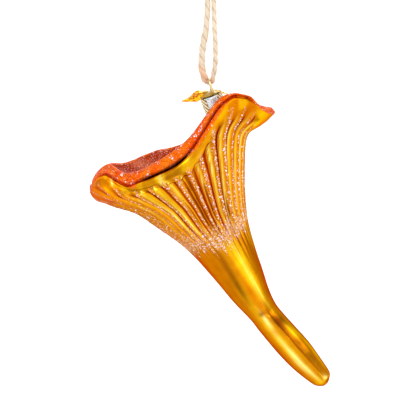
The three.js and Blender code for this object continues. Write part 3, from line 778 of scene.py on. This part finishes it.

# The lines painted along each rib: painted shade on the flank away from the light, a painted highlight
# on the other flank with a pale heart, and a thin brown and an olive line of painted shade beside it.
dark_flank = np.where(side > 70, 2.3, -1.6) + 0.4 * (draw_b - 0.5)
dark_width = 0.6 + 0.7 * draw_b - 0.2 * right_ribs - 0.35 * crowded
dark_line = spot(phase, dark_flank, dark_width) * ribbed * (1 - 0.6 * plain_lobe)
dark_brown = mix(BROWN + 0 * glass_rows, DEEP_SHADE, 0.5 * draw_c * right_ribs)
lit_flank = np.where(side > 70, -1.75, 1.9) + 0.5 * (draw_a - 0.5)
lit_width = 0.28 + 0.3 * draw_a + 0.3 * middle_ribs + 0.2 * crowded
lit_line = spot(phase, lit_flank, lit_width) * ribbed * (1 - 0.7 * plain_lobe)
thin_line = spot(phase, lit_flank - np.sign(lit_flank) * 0.8, 0.22) * ribbed * (1 - plain_lobe)
pale_width = 0.16 + 0.06 * right_ribs + 0.12 * crowded
pale_line = spot(phase, lit_flank + 0.25 * right_ribs, pale_width) * ribbed * (1 - plain_lobe)
olive_line = spot(phase, lit_flank + 0.85, 0.3) * ribbed * right_ribs

# Yellow dabs on the band below the lip, pale ones of painted highlight and olive ones of painted shade.
yellow_dabs = smoothstep(0, 0.8, spread(31, low=5, high=30))
pale_dabs = smoothstep(0.7, 1.3, spread(33, low=8, high=44)) * smoothstep(60, 72, side)
olive_dabs = smoothstep(0.2, 1, spread(32, low=8, high=40))
olive_dabs = olive_dabs * smoothstep(66, 72, side) * smoothstep(125, 112, side)

colour = coated(AMBER + 0 * glass_rows, [
    (ORANGE, 0.45 + 0.35 * spread(3)),
    (DARK_AMBER, 0.35 * smoothstep(9.5, 8.5, place)),
    (DEEP_ORANGE, (0.45 + 0.3 * right_ribs) * ribbed * (1 - 0.2 * plain_lobe)),
    (RUST, (0.3 * right_ribs * draw_b + 0.35 * plain_lobe) * ribbed),
    (LOBE_ORANGE, 0.75 * plain_lobe * smoothstep(11.2, 12.8, place)),
    # painted shade and painted highlights along the ribs, from the lines above
    (dark_brown, (0.95 - 0.2 * right_ribs) * dark_line),
    (YELLOW, (0.65 + 0.35 * draw_c) * lit_line),
    (BROWN, 0.8 * draw_c * thin_line),
    (PALE_HIGHLIGHT, (0.3 + 0.6 * draw_c) * pale_line),
    (OLIVE, 0.9 * (0.4 + 0.6 * draw_b) * olive_line),
    # painted shade on the flank of the lobe's panels away from the light
    (RUST, 0.6 * plain_lobe * ribbed * spot(phase, 1.7, 1.0)),
    # a painted highlight on the beak
    (YELLOW, 0.9 * on_beak * spot(side, 16, 12)),
    # painted shade in the fold beside the beak
    (OLIVE, 0.8 * spot(place, 14.2, 0.22) * spot(side, 18, 1.2)),
    # a slanting streak of painted shade on the right side of the gills
    (RUST, 0.6 * spot(place, 13.6, 0.9) * spot(side, 62 - 14 * (place - 13), 6) * (1 - on_beak)),
    # a painted highlight just below the roll
    (LIGHT_GOLD, 0.8 * spot(place, 14.8, 0.5) * spot(side, 60, 8)),
    (OCHRE, 0.5 * top_band * spot(side, 66, 9)),
    (DEEP_ORANGE, 0.7 * smoothstep(13.6, 14.6, place) * spot(side, 40, 18)),
    # painted shade under the lip's edge
    (BROWN, 0.85 * under_lip),
    (OCHRE, 0.45 * top_band * lip_front),
    # yellow dabs, pale dabs of painted highlight and olive dabs of painted shade
    (YELLOW, 0.45 * top_band * yellow_dabs),
    (PALE_HIGHLIGHT, 0.4 * top_band * pale_dabs),
    (OLIVE, 0.5 * top_band * olive_dabs),
])
# The streaks paint highlights and dark reflections onto the stem, below the gills.
below_gills = smoothstep(9.7, 9.1, place)
for middle, degrees, slant, half_length, half_width, tint, strength in LIGHT_AND_SHADE_STREAKS:
    slanting = np.radians(degrees + slant * (place - middle))
    off = np.degrees(np.angle(np.exp(1j * (turn - slanting))))
    streak = spot(place, middle, half_length) * spot(off, 0, half_width)
    colour = mix(colour, tint, strength * streak * below_gills)

# The gills' glitter: thick where they leave the stem, and from there only along the crests.
zone_start = np.interp(side, (0, 16, 43, 84, 105, 150, 180), (9.9, 9.8, 9.5, 8.95, 9.0, 8.8, 8.8))
zone_start = zone_start + 0.16 * spread(5, stretch=0, low=8, high=90)
zone = smoothstep(zone_start, zone_start + 0.12, place)
thin_out = smoothstep(TOP_SECTION + 1, zone_start + 0.6, place)
crest_width = np.interp(side, (30, 70, 112, 138), (0.45, 0.65, 0.65, 0.4))
on_crests = spot(phase, 0, crest_width) * (0.55 + 0.45 * thin_out) * (1 - on_beak)
dense = smoothstep(zone_start + 1.0, zone_start + 0.2, place) * (0.75 + 0.25 * crest)
low_left = 0.3 * smoothstep(118, 140, side) * smoothstep(11.9, 10.4, place)
last_grains = TOP_SECTION - np.interp(side, (40, 62), (0.05, 0.25))
gill_glitter = zone * np.maximum(np.maximum(on_crests, dense), low_left)
gill_glitter = gill_glitter * smoothstep(last_grains, last_grains - 0.25, place)
colour = mix(colour, SAND, (0.35 - 0.2 * smoothstep(100, 140, side)) * gill_glitter)

# The margin's enamel: a dark slit or a red crease, both painted shade, and the orange-red roll, which
# runs over into the maroon bowl. The neck is bare silvered glass, and the sealed tip is dark.
over = place - TOP_SECTION
share = np.where(over > 0, margin_shape(np.clip(over, 0, 1), turn)[0], over)
share = np.where(over > 0.77, 1.05, share)
crease_width = np.interp(side, (40, 48, 60, 72), (0.035, 0.06, 0.06, 0.04))
crease = spot(share, crease_share(turn), crease_width) * (over > 0) * (over < 0.7)
slit = np.clip(crease_depth(turn) / 0.001, 0, 1)
enamel_edge = np.interp(side, ENAMEL_TURNS, ENAMEL_SHARES)
enamel_edge = enamel_edge + 0.015 * spread(8, stretch=0, low=3, high=40)
blur = np.interp(side, (0, 44, 52, 66, 74, 180), (0.04, 0.04, 0.15, 0.15, 0.03, 0.03))
on_roll = smoothstep(enamel_edge - blur, enamel_edge + blur, share) * (over > -1.5)
orange = mix(ORANGE_RED + 0 * glass_rows, TANGERINE, 0.5 + 0.5 * spread(41, stretch=3, low=2, high=30))
pink_edge = spot(share, enamel_edge + 0.05, 0.05) * smoothstep(114, 120, side) * (over > -1.4)
red_crease = crease * (1 - slit) * smoothstep(118, 106, side) * smoothstep(38, 46, side)
in_bowl = smoothstep(0.82, 0.95, over + 0.03 * spread(9, stretch=0, low=3, high=24))
colour = coated(colour, [
    (orange, on_roll),
    (PINK_RED, 0.8 * pink_edge),
    # painted shade: dark red along the crease, and black down the slit
    (DEEP_RED, red_crease),
    (BLACK, smoothstep(0.2, 0.5, crease) * slit),
    (MAROON, in_bowl),
    (DUSTY_ROSE, 0.55 * in_bowl * smoothstep(0.1, 1.1, spread(12, stretch=2.5, low=2, high=16))),
    (SILVER, smoothstep(2.5, 2.75, over)),
    (SEALED_TIP, smoothstep(-0.15, -0.35, place)),
])
satin = 0.12 * plain_lobe * smoothstep(10.8, 12.2, place) * (over < 0.3)
grain = np.clip(np.maximum(np.maximum(gill_glitter, satin), on_roll * (over < 2)), 0, 1)


def noise(add, scale, detail=2.0):
    """Soft random blotches over a piece, from 0 to 1."""
    return add("ShaderNodeTexNoise", {"Vector": here(add), "Scale": scale, "Detail": detail}).outputs["Fac"]


def ranged(add, value, low, high):
    """A value that runs from 0 to 1, made to run from low to high."""
    return add("ShaderNodeMapRange", {"Value": value, "To Min": low, "To Max": high}).outputs["Result"]


def lacquered_glass():
    """Silvered glass under tinted lacquer: nearly a mirror where it is bare, dull where it is grainy."""
    material, shader, add = new_finish("lacquered_glass", Specular_IOR_Level=0.25,
                                       Specular_Tint=(0.62, 0.24, 0.02, 1))
    grain = carried(add, "grain")
    tone = ramp(add, noise(add, 260.0, 3.0), ((0.3, (0.86, 0.80, 0.80)), (0.7, (1.0, 1.0, 1.0))))
    tinted = mixed(add, 1.0, carried(add, "paint", "Vector"), tone, "MULTIPLY")
    sugar = add("ShaderNodeTexVoronoi", {"Vector": here(add), "Scale": 2300.0})
    pick = add("ShaderNodeSeparateColor", {"Color": sugar.outputs["Color"]}).outputs["Red"]
    speck = ramp(add, pick, ((0.12, (0.62, 0.45, 0.45)), (0.3, (1.0, 1.0, 1.0))))
    speckled = mixed(add, grain, tinted, speck, "MULTIPLY")
    grit = add("ShaderNodeMath", {0: sugar.outputs["Distance"], 1: grain}, operation="MULTIPLY").outputs[0]
    ripple = add("ShaderNodeBump", {"Height": noise(add, 420.0), "Strength": 0.12, "Distance": 0.0003})
    relief = add("ShaderNodeBump", {"Height": grit, "Strength": 0.7, "Distance": 0.0002,
                                    "Normal": ripple.outputs["Normal"]})
    add(shader, {"Base Color": speckled, "Roughness": ranged(add, grain, 0.2, 0.45),
                 "Metallic": ranged(add, grain, 1.0, 0.5), "Normal": relief.outputs["Normal"]})
    return material


glass_faces = [face[::-1] for face in ring_faces(len(row_places), COLUMNS)]
glass = piece("blown_glass_body", glass_rows.reshape(-1, 3), glass_faces, lacquered_glass(),
              "lacquered_glass", paint=colour.reshape(-1, 3), grain=grain.ravel())
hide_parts("glass_body")

# ---------------------------------------------------------------- glitter
# Coarse iridescent flakes, glued on by hand: sand, gold and lilac on the gills' crests and in the band
# where they leave the stem, flame red with clusters of white on the roll, and wine and rose in the bowl.
LILAC = (0.90, 0.74, 1.0)
PEACH = (0.98, 0.56, 0.30)
PALE_SAND = (1.0, 0.80, 0.54)
GOLD = (0.95, 0.45, 0.015)
UMBER = (0.62, 0.22, 0.01)
WHITE = (1.0, 1.0, 1.0)
PINK = (1.0, 0.58, 0.62)
CORAL = (1.0, 0.36, 0.13)
FLAME = (1.0, 0.20, 0.006)
BRICK = (0.62, 0.05, 0.004)
WINE = (0.30, 0.03, 0.015)
ROSE = (0.78, 0.32, 0.24)
FLAKE_EDGE_HEIGHT = 0.05  # of a flake's size, as the next is
FLAKE_PEAK_HEIGHT = 0.22

next_round = np.roll(glass_rows, -1, axis=1)
middles = (glass_rows[:-1] + next_round[:-1] + glass_rows[1:] + next_round[1:]) / 4
up_edge = glass_rows[1:] - glass_rows[:-1]
side_edge = next_round[:-1] - glass_rows[:-1]
cell_normals = np.cross(up_edge, side_edge)
cell_areas = np.linalg.norm(cell_normals, axis=-1)
cell_normals = cell_normals / np.maximum(cell_areas, 1e-12)[..., None]


def flakes(per_square_mm, size, tilt, palette, weights, seed):
    """Shallow four-sided grains scattered over the glass, with a density for each of its cells."""
    draw = np.random.default_rng(seed)
    chance = (per_square_mm[:-1] * cell_areas * 1e6).ravel()
    count = int(chance.sum())
    cells = np.searchsorted(np.cumsum(chance), draw.uniform(0, chance.sum(), count))
    cells = np.minimum(cells, chance.size - 1)
    middle, up, along, normal = (
        grid.reshape(-1, 3)[cells] for grid in (middles, up_edge, side_edge, cell_normals)
    )
    a, b = draw.uniform(-0.5, 0.5, (2, count, 1))
    at = middle + a * up + b * along
    leaning = unit(normal + tilt * draw.normal(size=(count, 3)))
    first = unit(np.cross(leaning, draw.normal(size=(count, 3))))
    second = np.cross(leaning, first)
    wide = draw.uniform(*size, (count, 1))
    corners = [at + wide * (c + FLAKE_EDGE_HEIGHT * leaning) for c in (first, second, -first, -second)]
    points = np.stack([*corners, at + FLAKE_PEAK_HEIGHT * wide * leaning], 1)
    base = 5 * np.arange(count)[:, None]
    faces = np.concatenate([base + np.array((i, (i + 1) % 4, 4)) for i in range(4)]).tolist()
    faces += (base + np.array((3, 2, 1, 0))).tolist()
    chosen = np.array(palette)[draw.choice(len(palette), count, p=np.array(weights) / sum(weights))]
    shine = np.repeat(chosen[:, None], 5, axis=1)
    return points.reshape(-1, 3), faces, shine.reshape(-1, 3)


def glitter_finish():
    """Tinted foil flakes with a clear shine."""
    material, shader, add = new_finish("glitter_flakes", Metallic=0.6, Roughness=0.3)
    tone = ramp(add, noise(add, 900.0), ((0.3, (0.8, 0.8, 0.8)), (0.6, (1.0, 1.0, 1.0))))
    add(shader, {"Base Color": mixed(add, 1.0, carried(add, "tint", "Vector"), tone, "MULTIPLY")})
    return material


def glued_on(name, *layers):
    """A piece of glitter, from one or more layers of flakes."""
    points, faces, tint = joined(layers)
    piece(name, points, faces, glitter, "lacquered_glass", smooth=False, tint=tint)


glitter = glitter_finish()
sandy = (PEACH, PALE_SAND, GOLD, UMBER, LILAC, WHITE)
fine = flakes(8 * gill_glitter, (0.00012, 0.00024), 0.2, sandy, (5, 5, 8, 3, 2.5, 2), 21)
front_crests = 0.7 * gill_glitter * smoothstep(140, 70, side) + 0.12 * gill_glitter
coarse = flakes(front_crests, (0.00022, 0.00040), 0.15, (LILAC, WHITE, PALE_SAND), (3, 3, 2), 24)
glued_on("gill_glitter", fine, coarse)

roll = on_roll * (1 - in_bowl)
fiery = (FLAME, BRICK, CORAL, PINK, WHITE)
fine = flakes(3.0 * roll, (0.00010, 0.00022), 0.2, fiery, (12, 3, 5, 1.5, 1), 22)
clusters = smoothstep(0.1, 1.0, spread(51, stretch=6, low=6, high=50))
coarse = flakes(0.7 * roll * clusters, (0.00022, 0.00042), 0.12, (WHITE, PINK, LILAC), (6, 3, 1), 25)
glued_on("roll_glitter", fine, coarse)

bowl_wall = in_bowl * smoothstep(2.0, 1.9, over)
fine = flakes(2.8 * bowl_wall, (0.00012, 0.00026), 0.2, (WINE, ROSE, PINK, CORAL), (6, 6, 3, 2), 23)
glued_on("bowl_glitter", fine)

# ---------------------------------------------------------------- crown cap
# A thin stamped metal cap that grips the neck: a fluted skirt with slanting flutes and a plain panel
# at the front, a low dome, and a raised collar round each of the wire's two holes.
CROWN_RADIUS = 0.0050
CROWN_INNER_RADIUS = 0.00458
CROWN_EDGE_Z = -0.0070
CROWN_FOOT_Z = -0.0160
CROWN_TOP_Z = -0.0064
CROWN_ROWS = 160
CROWN_SIDES = 288
FLUTE_COUNT = 16
FLUTE_DEPTH = 0.00028
FLUTE_SLANT = 190  # radians of turn for each metre of height
PANEL_HALF_WIDTH = math.radians(30)
PANEL_BLEND = 0.06  # radians
FRAME_LINE_HEIGHT = 0.00008
FRAME_LINE_WIDTH = 0.05  # radians
LEG_HOLES = ((-0.0001, -0.0017), (-0.0013, 0.0017))  # front leg, back leg
HOLE_RADIUS = 0.00075
HOLE_TOP_Z = -0.0050
HOLE_FOOT_Z = -0.0090
CROWN_PROFILE = (  # radius, height, and the share of the flutes' depth
    (0, CROWN_EDGE_Z - 0.0004, 0), (0.0040, CROWN_EDGE_Z - 0.0004, 0),
    (CROWN_INNER_RADIUS, CROWN_EDGE_Z - 0.0009, 0), (CROWN_INNER_RADIUS, CROWN_FOOT_Z + 0.0002, 0),
    (0.00470, CROWN_FOOT_Z, 0), (0.00495, CROWN_FOOT_Z + 0.0001, 0.2),
    (CROWN_RADIUS, CROWN_FOOT_Z + 0.0004, 0.8), (CROWN_RADIUS, -0.0140, 1),
    (CROWN_RADIUS, -0.0120, 1), (CROWN_RADIUS, -0.0100, 1), (CROWN_RADIUS, -0.0082, 1),
    (0.00499, -0.0075, 0.7), (0.00488, -0.00715, 0.3), (0.0046, -0.0069, 0),
    (0.0032, -0.00652, 0), (0.0016, -0.00642, 0), (0, CROWN_TOP_Z, 0),
)
COLLAR_PROFILE = (
    (HOLE_RADIUS, -0.0069), (0.00145, -0.0069), (0.00142, -0.0066), (0.00130, -0.0063),
    (0.00122, -0.0060), (0.00112, -0.00588), (0.00098, -0.00585), (0.00084, -0.00592),
    (HOLE_RADIUS, -0.0061), (HOLE_RADIUS, -0.0069),
)
CROWN_SILVER = ((0.3, (0.36, 0.42, 0.46)), (0.5, (0.66, 0.72, 0.75)), (0.7, (0.84, 0.90, 0.92)))
CROWN_STRAW = ((0.3, (0.60, 0.42, 0.16)), (0.5, (0.90, 0.74, 0.42)), (0.7, (1.0, 0.93, 0.72)))
# The colour of the crown's painted shade.
CROWN_SHADE = (0.085, 0.042, 0.006, 1)


def from_crown(points):
    """Points given across, back and up the crown's leaning axis, in the ornament's own frame."""
    points = np.asarray(points, float)
    return points[..., :1] * ACROSS - points[..., 1:2] * FRONT + points[..., 2:] * UP


def off_front(turn):
    """Radians from the middle of the front panel."""
    return np.abs(np.angle(np.exp(1j * (turn - 1.5 * np.pi))))


def off_panel(turn):
    """Nought on the front panel, and one on the fluted rest."""
    return smoothstep(PANEL_HALF_WIDTH - PANEL_BLEND, PANEL_HALF_WIDTH + PANEL_BLEND, off_front(turn))


def flute_wave(turn, height):
    """From nought to one across each slanting flute."""
    return np.abs(np.sin(FLUTE_COUNT * (turn + FLUTE_SLANT * height) / 2))


def crown_shell():
    """The cap as one closed shell, from the middle of its inside to the middle of its top."""
    places = np.linspace(0.02, 0.98, CROWN_ROWS)
    radius, height, flute = np.moveaxis(spline(CROWN_PROFILE, places), -1, 0)[..., None]
    turn = np.linspace(0, 2 * np.pi, CROWN_SIDES, endpoint=False)
    cut = FLUTE_DEPTH * flute * off_panel(turn) * flute_wave(turn, height) ** 0.8
    frame_line = spot(off_front(turn), PANEL_HALF_WIDTH - 0.1, FRAME_LINE_WIDTH)
    around = np.maximum(radius, 0.0001) - cut + FRAME_LINE_HEIGHT * flute * frame_line
    across = NECK_X + around * np.cos(turn)
    points = np.stack([across, around * np.sin(turn), height + 0 * turn], -1)
    return from_crown(points).reshape(-1, 3), ring_faces(CROWN_ROWS, CROWN_SIDES)


def stamping(points):
    """How straw-coloured the crown is at some points, and how much painted shade it has."""
    across, back, up = points @ ACROSS, points[:, 1], points @ UP
    turn = np.arctan2(back, across - NECK_X)
    on_side = smoothstep(0.0044, 0.0048, np.hypot(across - NECK_X, back))
    fluted = off_panel(turn) * on_side
    groove = smoothstep(0.68, 0.95, flute_wave(turn, up))
    frame_line = spot(off_front(turn), PANEL_HALF_WIDTH - 0.02, FRAME_LINE_WIDTH) * on_side
    straw = np.maximum(fluted, 1 - on_side)
    # Painted shade: in the flutes' grooves, on the panel's frame line, and over the dome under the leaf.
    painted_shade = np.maximum(0.95 * fluted * groove, 0.6 * frame_line) + 0.5 * (1 - on_side)
    return np.stack([straw, painted_shade, 0 * straw], -1)


def crown_metal():
    """Bright stamped sheet, straw-coloured on the flutes, with painted shade in their grooves and on the
    dome.
    """
    material, shader, add = new_finish("crown_metal", Metallic=0.55)
    share = add("ShaderNodeSeparateXYZ", {"Vector": carried(add, "stamp", "Vector")}).outputs
    scratch = noise(add, 1400.0, 4.0)
    tone = mixed(add, share["X"], ramp(add, scratch, CROWN_SILVER), ramp(add, scratch, CROWN_STRAW))
    relief = add("ShaderNodeBump", {"Height": scratch, "Strength": 0.25, "Distance": 0.0001})
    add(shader, {"Base Color": mixed(add, share["Y"], tone, CROWN_SHADE),
                 "Roughness": ranged(add, scratch, 0.16, 0.42), "Normal": relief.outputs["Normal"]})
    return material


def turned(profile, middle, sides=40):
    """A solid turned about an upright axis of the crown, from rows of radius and height."""
    turn = np.linspace(0, 2 * np.pi, sides, endpoint=False)
    radius, height = np.array(profile).T[..., None]
    x = middle[0] + radius * np.cos(turn)
    y = middle[1] + radius * np.sin(turn)
    points = np.stack([x, y, height + 0 * turn], -1)
    return from_crown(points).reshape(-1, 3), ring_faces(len(profile), sides)


metal = crown_metal()
points, faces = crown_shell()
crown = piece("stamped_crown", points, faces, metal, "crown_metal")
# The holes are punched through the dome, and the stamping is then marked on the punched sheet.
punches = [turned(((HOLE_RADIUS, HOLE_FOOT_Z), (HOLE_RADIUS, HOLE_TOP_Z)), middle) for middle in LEG_HOLES]
points, faces = joined(punches)
punch_mesh = bpy.data.meshes.new("hole_punches")
punch_mesh.from_pydata(points.tolist(), [], faces)
punch = put_in_scene("hole_punches", punch_mesh)
holes = crown.modifiers.new("holes", "BOOLEAN")
holes.operation = "DIFFERENCE"
holes.solver = "EXACT"
holes.object = punch
punched = bpy.data.meshes.new_from_object(crown.evaluated_get(bpy.context.evaluated_depsgraph_get()))
stamp = stamping(np.array([corner.co for corner in punched.vertices]))
punched.attributes.new("stamp", "FLOAT_VECTOR", "POINT").data.foreach_set("vector", stamp.ravel())
crown.modifiers.clear()
crown.data = punched
bpy.data.objects.remove(punch)
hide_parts("crown_cap")
points, faces = joined([turned(COLLAR_PROFILE, middle) for middle in LEG_HOLES])
straw_all_over = np.outer(np.ones(len(points)), (1, 0, 0))
piece("crown_collars", points, faces, metal, "crown_metal", stamp=straw_all_over)

# ---------------------------------------------------------------- wire hanger
# One bow of brass-plated wire. Its two legs pass the crown's collars and splay out inside the neck,
# where their spring holds the crown down.
WIRE_RADIUS = 0.00045
BOW_RADIUS = 0.0019
BOW_CENTRE_Z = WIRE_RADIUS - BOW_RADIUS
LEG_SPLAY = 0.0023
LEG_END_Z = -0.0150
WIRE_STEPS = 170
WIRE_SIDES = 20
BRASS_TONES = ((0.38, (0.42, 0.27, 0.09)), (0.62, (0.92, 0.78, 0.46)))


def wire_leg(hole):
    """The leg through a hole, from the bow's end to the leg's own."""
    x, y = hole
    side = math.copysign(1, y)
    return [
        (0.6 * x, (y + side * BOW_RADIUS) / 2, (BOW_CENTRE_Z + CROWN_EDGE_Z) / 2),
        (x, y, CROWN_EDGE_Z + 0.0014), (x, y, CROWN_EDGE_Z - 0.0006),
        ((x + NECK_X) / 2, y + 0.0002 * side, CROWN_EDGE_Z - 0.004), (NECK_X, LEG_SPLAY * side, LEG_END_Z),
    ]


def brass():
    """Drawn brass-plated wire, with a few dull patches."""
    material, shader, add = new_finish("drawn_brass", Metallic=1.0)
    patch = noise(add, 1100.0, 3.0)
    add(shader, {"Base Color": ramp(add, patch, BRASS_TONES), "Roughness": ranged(add, patch, 0.14, 0.4)})
    return material


bow = [
    (0, -BOW_RADIUS * math.cos(angle), BOW_CENTRE_Z + BOW_RADIUS * math.sin(angle))
    for angle in np.linspace(0, np.pi, 7)
]
wire_route = wire_leg(LEG_HOLES[0])[::-1] + bow + wire_leg(LEG_HOLES[1])
wire_path = spline(wire_route, np.linspace(0, 1, WIRE_STEPS))
wire_radii = WIRE_RADIUS * np.ones((WIRE_STEPS, WIRE_SIDES))
wire_radii[[0, -1]] *= 0.6
points, faces = tube(from_crown(wire_path), wire_radii)
wire = piece("bent_wire", points, faces, brass(), "hanger_wire")
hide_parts("wire_hanger")

# ---------------------------------------------------------------- leaf trim
# A leaf of painted foil. Its middle is a disc that droops over the crown, with both legs of the wire
# through it. A long lobe goes to the left, folded where it meets the disc, and a short one to the right.
TRIM_Z = -0.0049
LONG_LOBE = (  # x, y, z of the midrib, half the width, and the tip up towards the back
    (-0.0019, 0.0017, TRIM_Z, 0.0011, 0.05), (-0.0032, 0.0012, -0.0046, 0.0020, 0.30),
    (-0.0043, 0.0006, -0.0045, 0.0026, 0.45), (-0.0058, 0.0002, -0.0044, 0.0032, 0.60),
    (-0.0080, 0, -0.0047, 0.0030, 0.68), (-0.0102, -0.0002, -0.0048, 0.0022, 0.60),
    (-0.0124, -0.0004, -0.0047, 0.0011, 0.50), (-0.0140, -0.0005, -0.0046, 0.0002, 0.50),
)
SHORT_LOBE = (
    (-0.0007, 0.0020, TRIM_Z, 0.0009, 0), (0.0014, 0.0026, -0.0056, 0.0014, 0.10),
    (0.0032, 0.0030, -0.0071, 0.0016, 0.10), (0.0046, 0.0032, -0.0084, 0.0011, 0),
    (0.0056, 0.0033, -0.0093, 0.0002, 0),
)
FOIL_HALF_THICKNESS = 0.00022
LOBE_DISH = 0.00045
LOBE_WAVE = 0.00018
VEIN_HEIGHT = 0.00006
DISC_RADIUS = 0.0049
DISC_Z = -0.0053
DISC_DROOP = 0.0012
DISC_LIP = 0.00022
WIDE_CREASES = 0.00016
FINE_CREASES = 0.00009
FOIL_PAINT = (
    (0.0, (0.16, 0.03, 0.002)), (0.2, (0.80, 0.13, 0.002)), (0.4, (0.88, 0.33, 0.003)),
    (0.8, (1.0, 0.68, 0.02)),
)
DULL_GOLD = (0.42, 0.24, 0.006, 1)


def foil_lobe(lobe_rows, count=60, sides=36):
    """A thin leaf: a crease down its midrib, slanting veins, and edges that wave a little."""
    x, y, z, half, tip = np.array([
        np.interp(np.linspace(0, 1, count), np.linspace(0, 1, len(lobe_rows)), column)
        for column in np.array(lobe_rows).T
    ])
    turn = np.linspace(0, 2 * np.pi, sides, endpoint=False)
    over_leaf = np.cos(turn)
    along = np.linspace(0, 1, count)[:, None]
    veins = np.sin(34 * along - 7 * np.abs(over_leaf)) * (1 - np.abs(over_leaf))
    dish = LOBE_DISH * (1 - np.exp(-((over_leaf / 0.45) ** 2))) * np.sin(np.pi * along)
    wave = LOBE_WAVE * np.sin(15 * along) * over_leaf * np.abs(over_leaf)
    lift = FOIL_HALF_THICKNESS * np.sin(turn) - dish + wave + VEIN_HEIGHT * veins
    middle = np.stack([x, y, z], -1)[:, None]
    across = np.stack([0 * tip, np.cos(tip), np.sin(tip)], -1)[:, None]
    thick = np.stack([0 * tip, -np.sin(tip), np.cos(tip)], -1)[:, None]
    points = middle + across * (half[:, None] * over_leaf)[..., None] + thick * lift[..., None]
    faces = ring_faces(count, sides)
    if x[-1] > x[0]:
        faces = [face[::-1] for face in faces]
    fold = np.broadcast_to(smoothstep(0.30, 0.22, along), lift.shape)
    return from_crown(points).reshape(-1, 3), faces, fold.ravel()


def foil_disc(rings=14, sides=72):
    """The leaf's middle: a disc with radial creases, which droops towards its slightly raised edge."""
    turn = np.linspace(0, 2 * np.pi, sides, endpoint=False)
    out = np.concatenate([np.linspace(0.02, 1, rings), np.linspace(1, 0.02, rings)])[:, None]
    side = np.repeat([-1.0, 1.0], rings)[:, None] * np.sqrt(np.clip(1.04 - out**4, 0, 1))
    crease = WIDE_CREASES * out * np.sin(5 * turn + 0.6) + FINE_CREASES * out**2 * np.sin(11 * turn + 2)
    lip = DISC_LIP * smoothstep(0.78, 0.95, out)
    height = DISC_Z - DISC_DROOP * out**2 + FOIL_HALF_THICKNESS * side + crease + lip
    radius = DISC_RADIUS * out * (1 + 0.03 * np.sin(4 * turn + 1))
    points = np.stack([NECK_X + radius * np.cos(turn), radius * np.sin(turn), height], -1)
    return from_crown(points).reshape(-1, 3), ring_faces(2 * rings, sides), np.ones(2 * rings * sides)


def painted_foil():
    """Orange and gold paint with fine glitter in it, and smooth dull gold near the wire."""
    material, shader, add = new_finish("painted_foil", Metallic=0.75, Roughness=0.3,
                                       Specular_IOR_Level=0.25)
    cells = add("ShaderNodeTexVoronoi", {"Vector": here(add), "Scale": 1700.0})
    pick = add("ShaderNodeSeparateColor", {"Color": cells.outputs["Color"]}).outputs["Red"]
    shade = mixed(add, carried(add, "fold"), ramp(add, pick, FOIL_PAINT), DULL_GOLD)
    relief = add("ShaderNodeBump", {"Height": pick, "Strength": 0.5, "Distance": 0.00012})
    add(shader, {"Base Color": shade, "Normal": relief.outputs["Normal"]})
    return material


points, faces, fold = joined([foil_lobe(LONG_LOBE), foil_lobe(SHORT_LOBE, 40), foil_disc()])
leaf = piece("foil_leaf", points, faces, painted_foil(), "trim_foil", fold=fold)
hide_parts("leaf_trim")

# ---------------------------------------------------------------- stage and light
# A wide white floor some way below the tip, a plain white surround, and soft lamps: the main one to
# the right of the camera and above it.
FLOOR_Z = cad_box[0].z - 0.09
FLOOR_SIZE = 30
SKY_LEVEL = 0.78


def seen_directly(add):
    """One for rays that show the background: from the camera, a reflection or through glass."""
    rays = add("ShaderNodeLightPath", {}).outputs
    either = rays["Is Camera Ray"]
    for kind in ("Is Glossy Ray", "Is Transmission Ray"):
        either = add("ShaderNodeMath", {0: either, 1: rays[kind]}, operation="MAXIMUM").outputs[0]
    return either


def floor_finish():
    """Matt white paint that glows just enough, where it is seen directly, to meet the white surround."""
    material, shader, add = new_finish("white_floor", Roughness=0.9)
    away = add("ShaderNodeVectorMath", {0: here(add)}, operation="LENGTH").outputs["Value"]
    glow = add("ShaderNodeMapRange", {"Value": away, "From Min": 0.2, "From Max": 1.4,
                                      "To Min": 0.3, "To Max": 0.75}).outputs["Result"]
    level = add("ShaderNodeMath", {0: glow, 1: seen_directly(add)}, operation="MULTIPLY").outputs[0]
    add(shader, {"Base Color": (0.86, 0.86, 0.86, 1), "Emission Color": (1, 1, 1, 1),
                 "Emission Strength": level})
    return material


half = FLOOR_SIZE / 2
corners = [(half * x, half * y, FLOOR_Z) for x, y in ((-1, -1), (1, -1), (1, 1), (-1, 1))]
floor_mesh = bpy.data.meshes.new("floor")
floor_mesh.from_pydata(corners, [], [(0, 1, 2, 3)])
floor_mesh.materials.append(floor_finish())
floor = put_in_scene("floor", floor_mesh)

world = bpy.data.worlds.new("white_surround")
world.use_nodes = True
bpy.context.scene.world = world
add = node_adder(world.node_tree)
add(world.node_tree.nodes["Background"], {
    "Color": (1, 1, 1, 1), "Strength": ranged(add, seen_directly(add), SKY_LEVEL, 1.0),
})

LAMPS = (  # name, place from the camera's aim, width, height, watts
    ("right_softbox", (0.72, -0.42, 0.66), 0.50, 0.80, 2.8),
    ("front_softbox", (0.10, -1.50, 0.40), 0.80, 0.60, 5.0),
    ("left_softbox", (-0.95, -0.25, 0.35), 0.30, 0.70, 1.5),
    ("back_softbox", (0.10, 0.80, 0.55), 0.60, 0.40, 2.0),
)
for name, from_aim, width, height, watts in LAMPS:
    light = bpy.data.lights.new(name, "AREA")
    light.shape = "RECTANGLE"
    light.size = width
    light.size_y = height
    light.energy = watts
    lamp = put_in_scene(name, light)
    lamp.location = CAMERA_AIM + Vector(from_aim)
    lamp.rotation_euler = Vector(from_aim).to_track_quat("Z", "Y").to_euler()
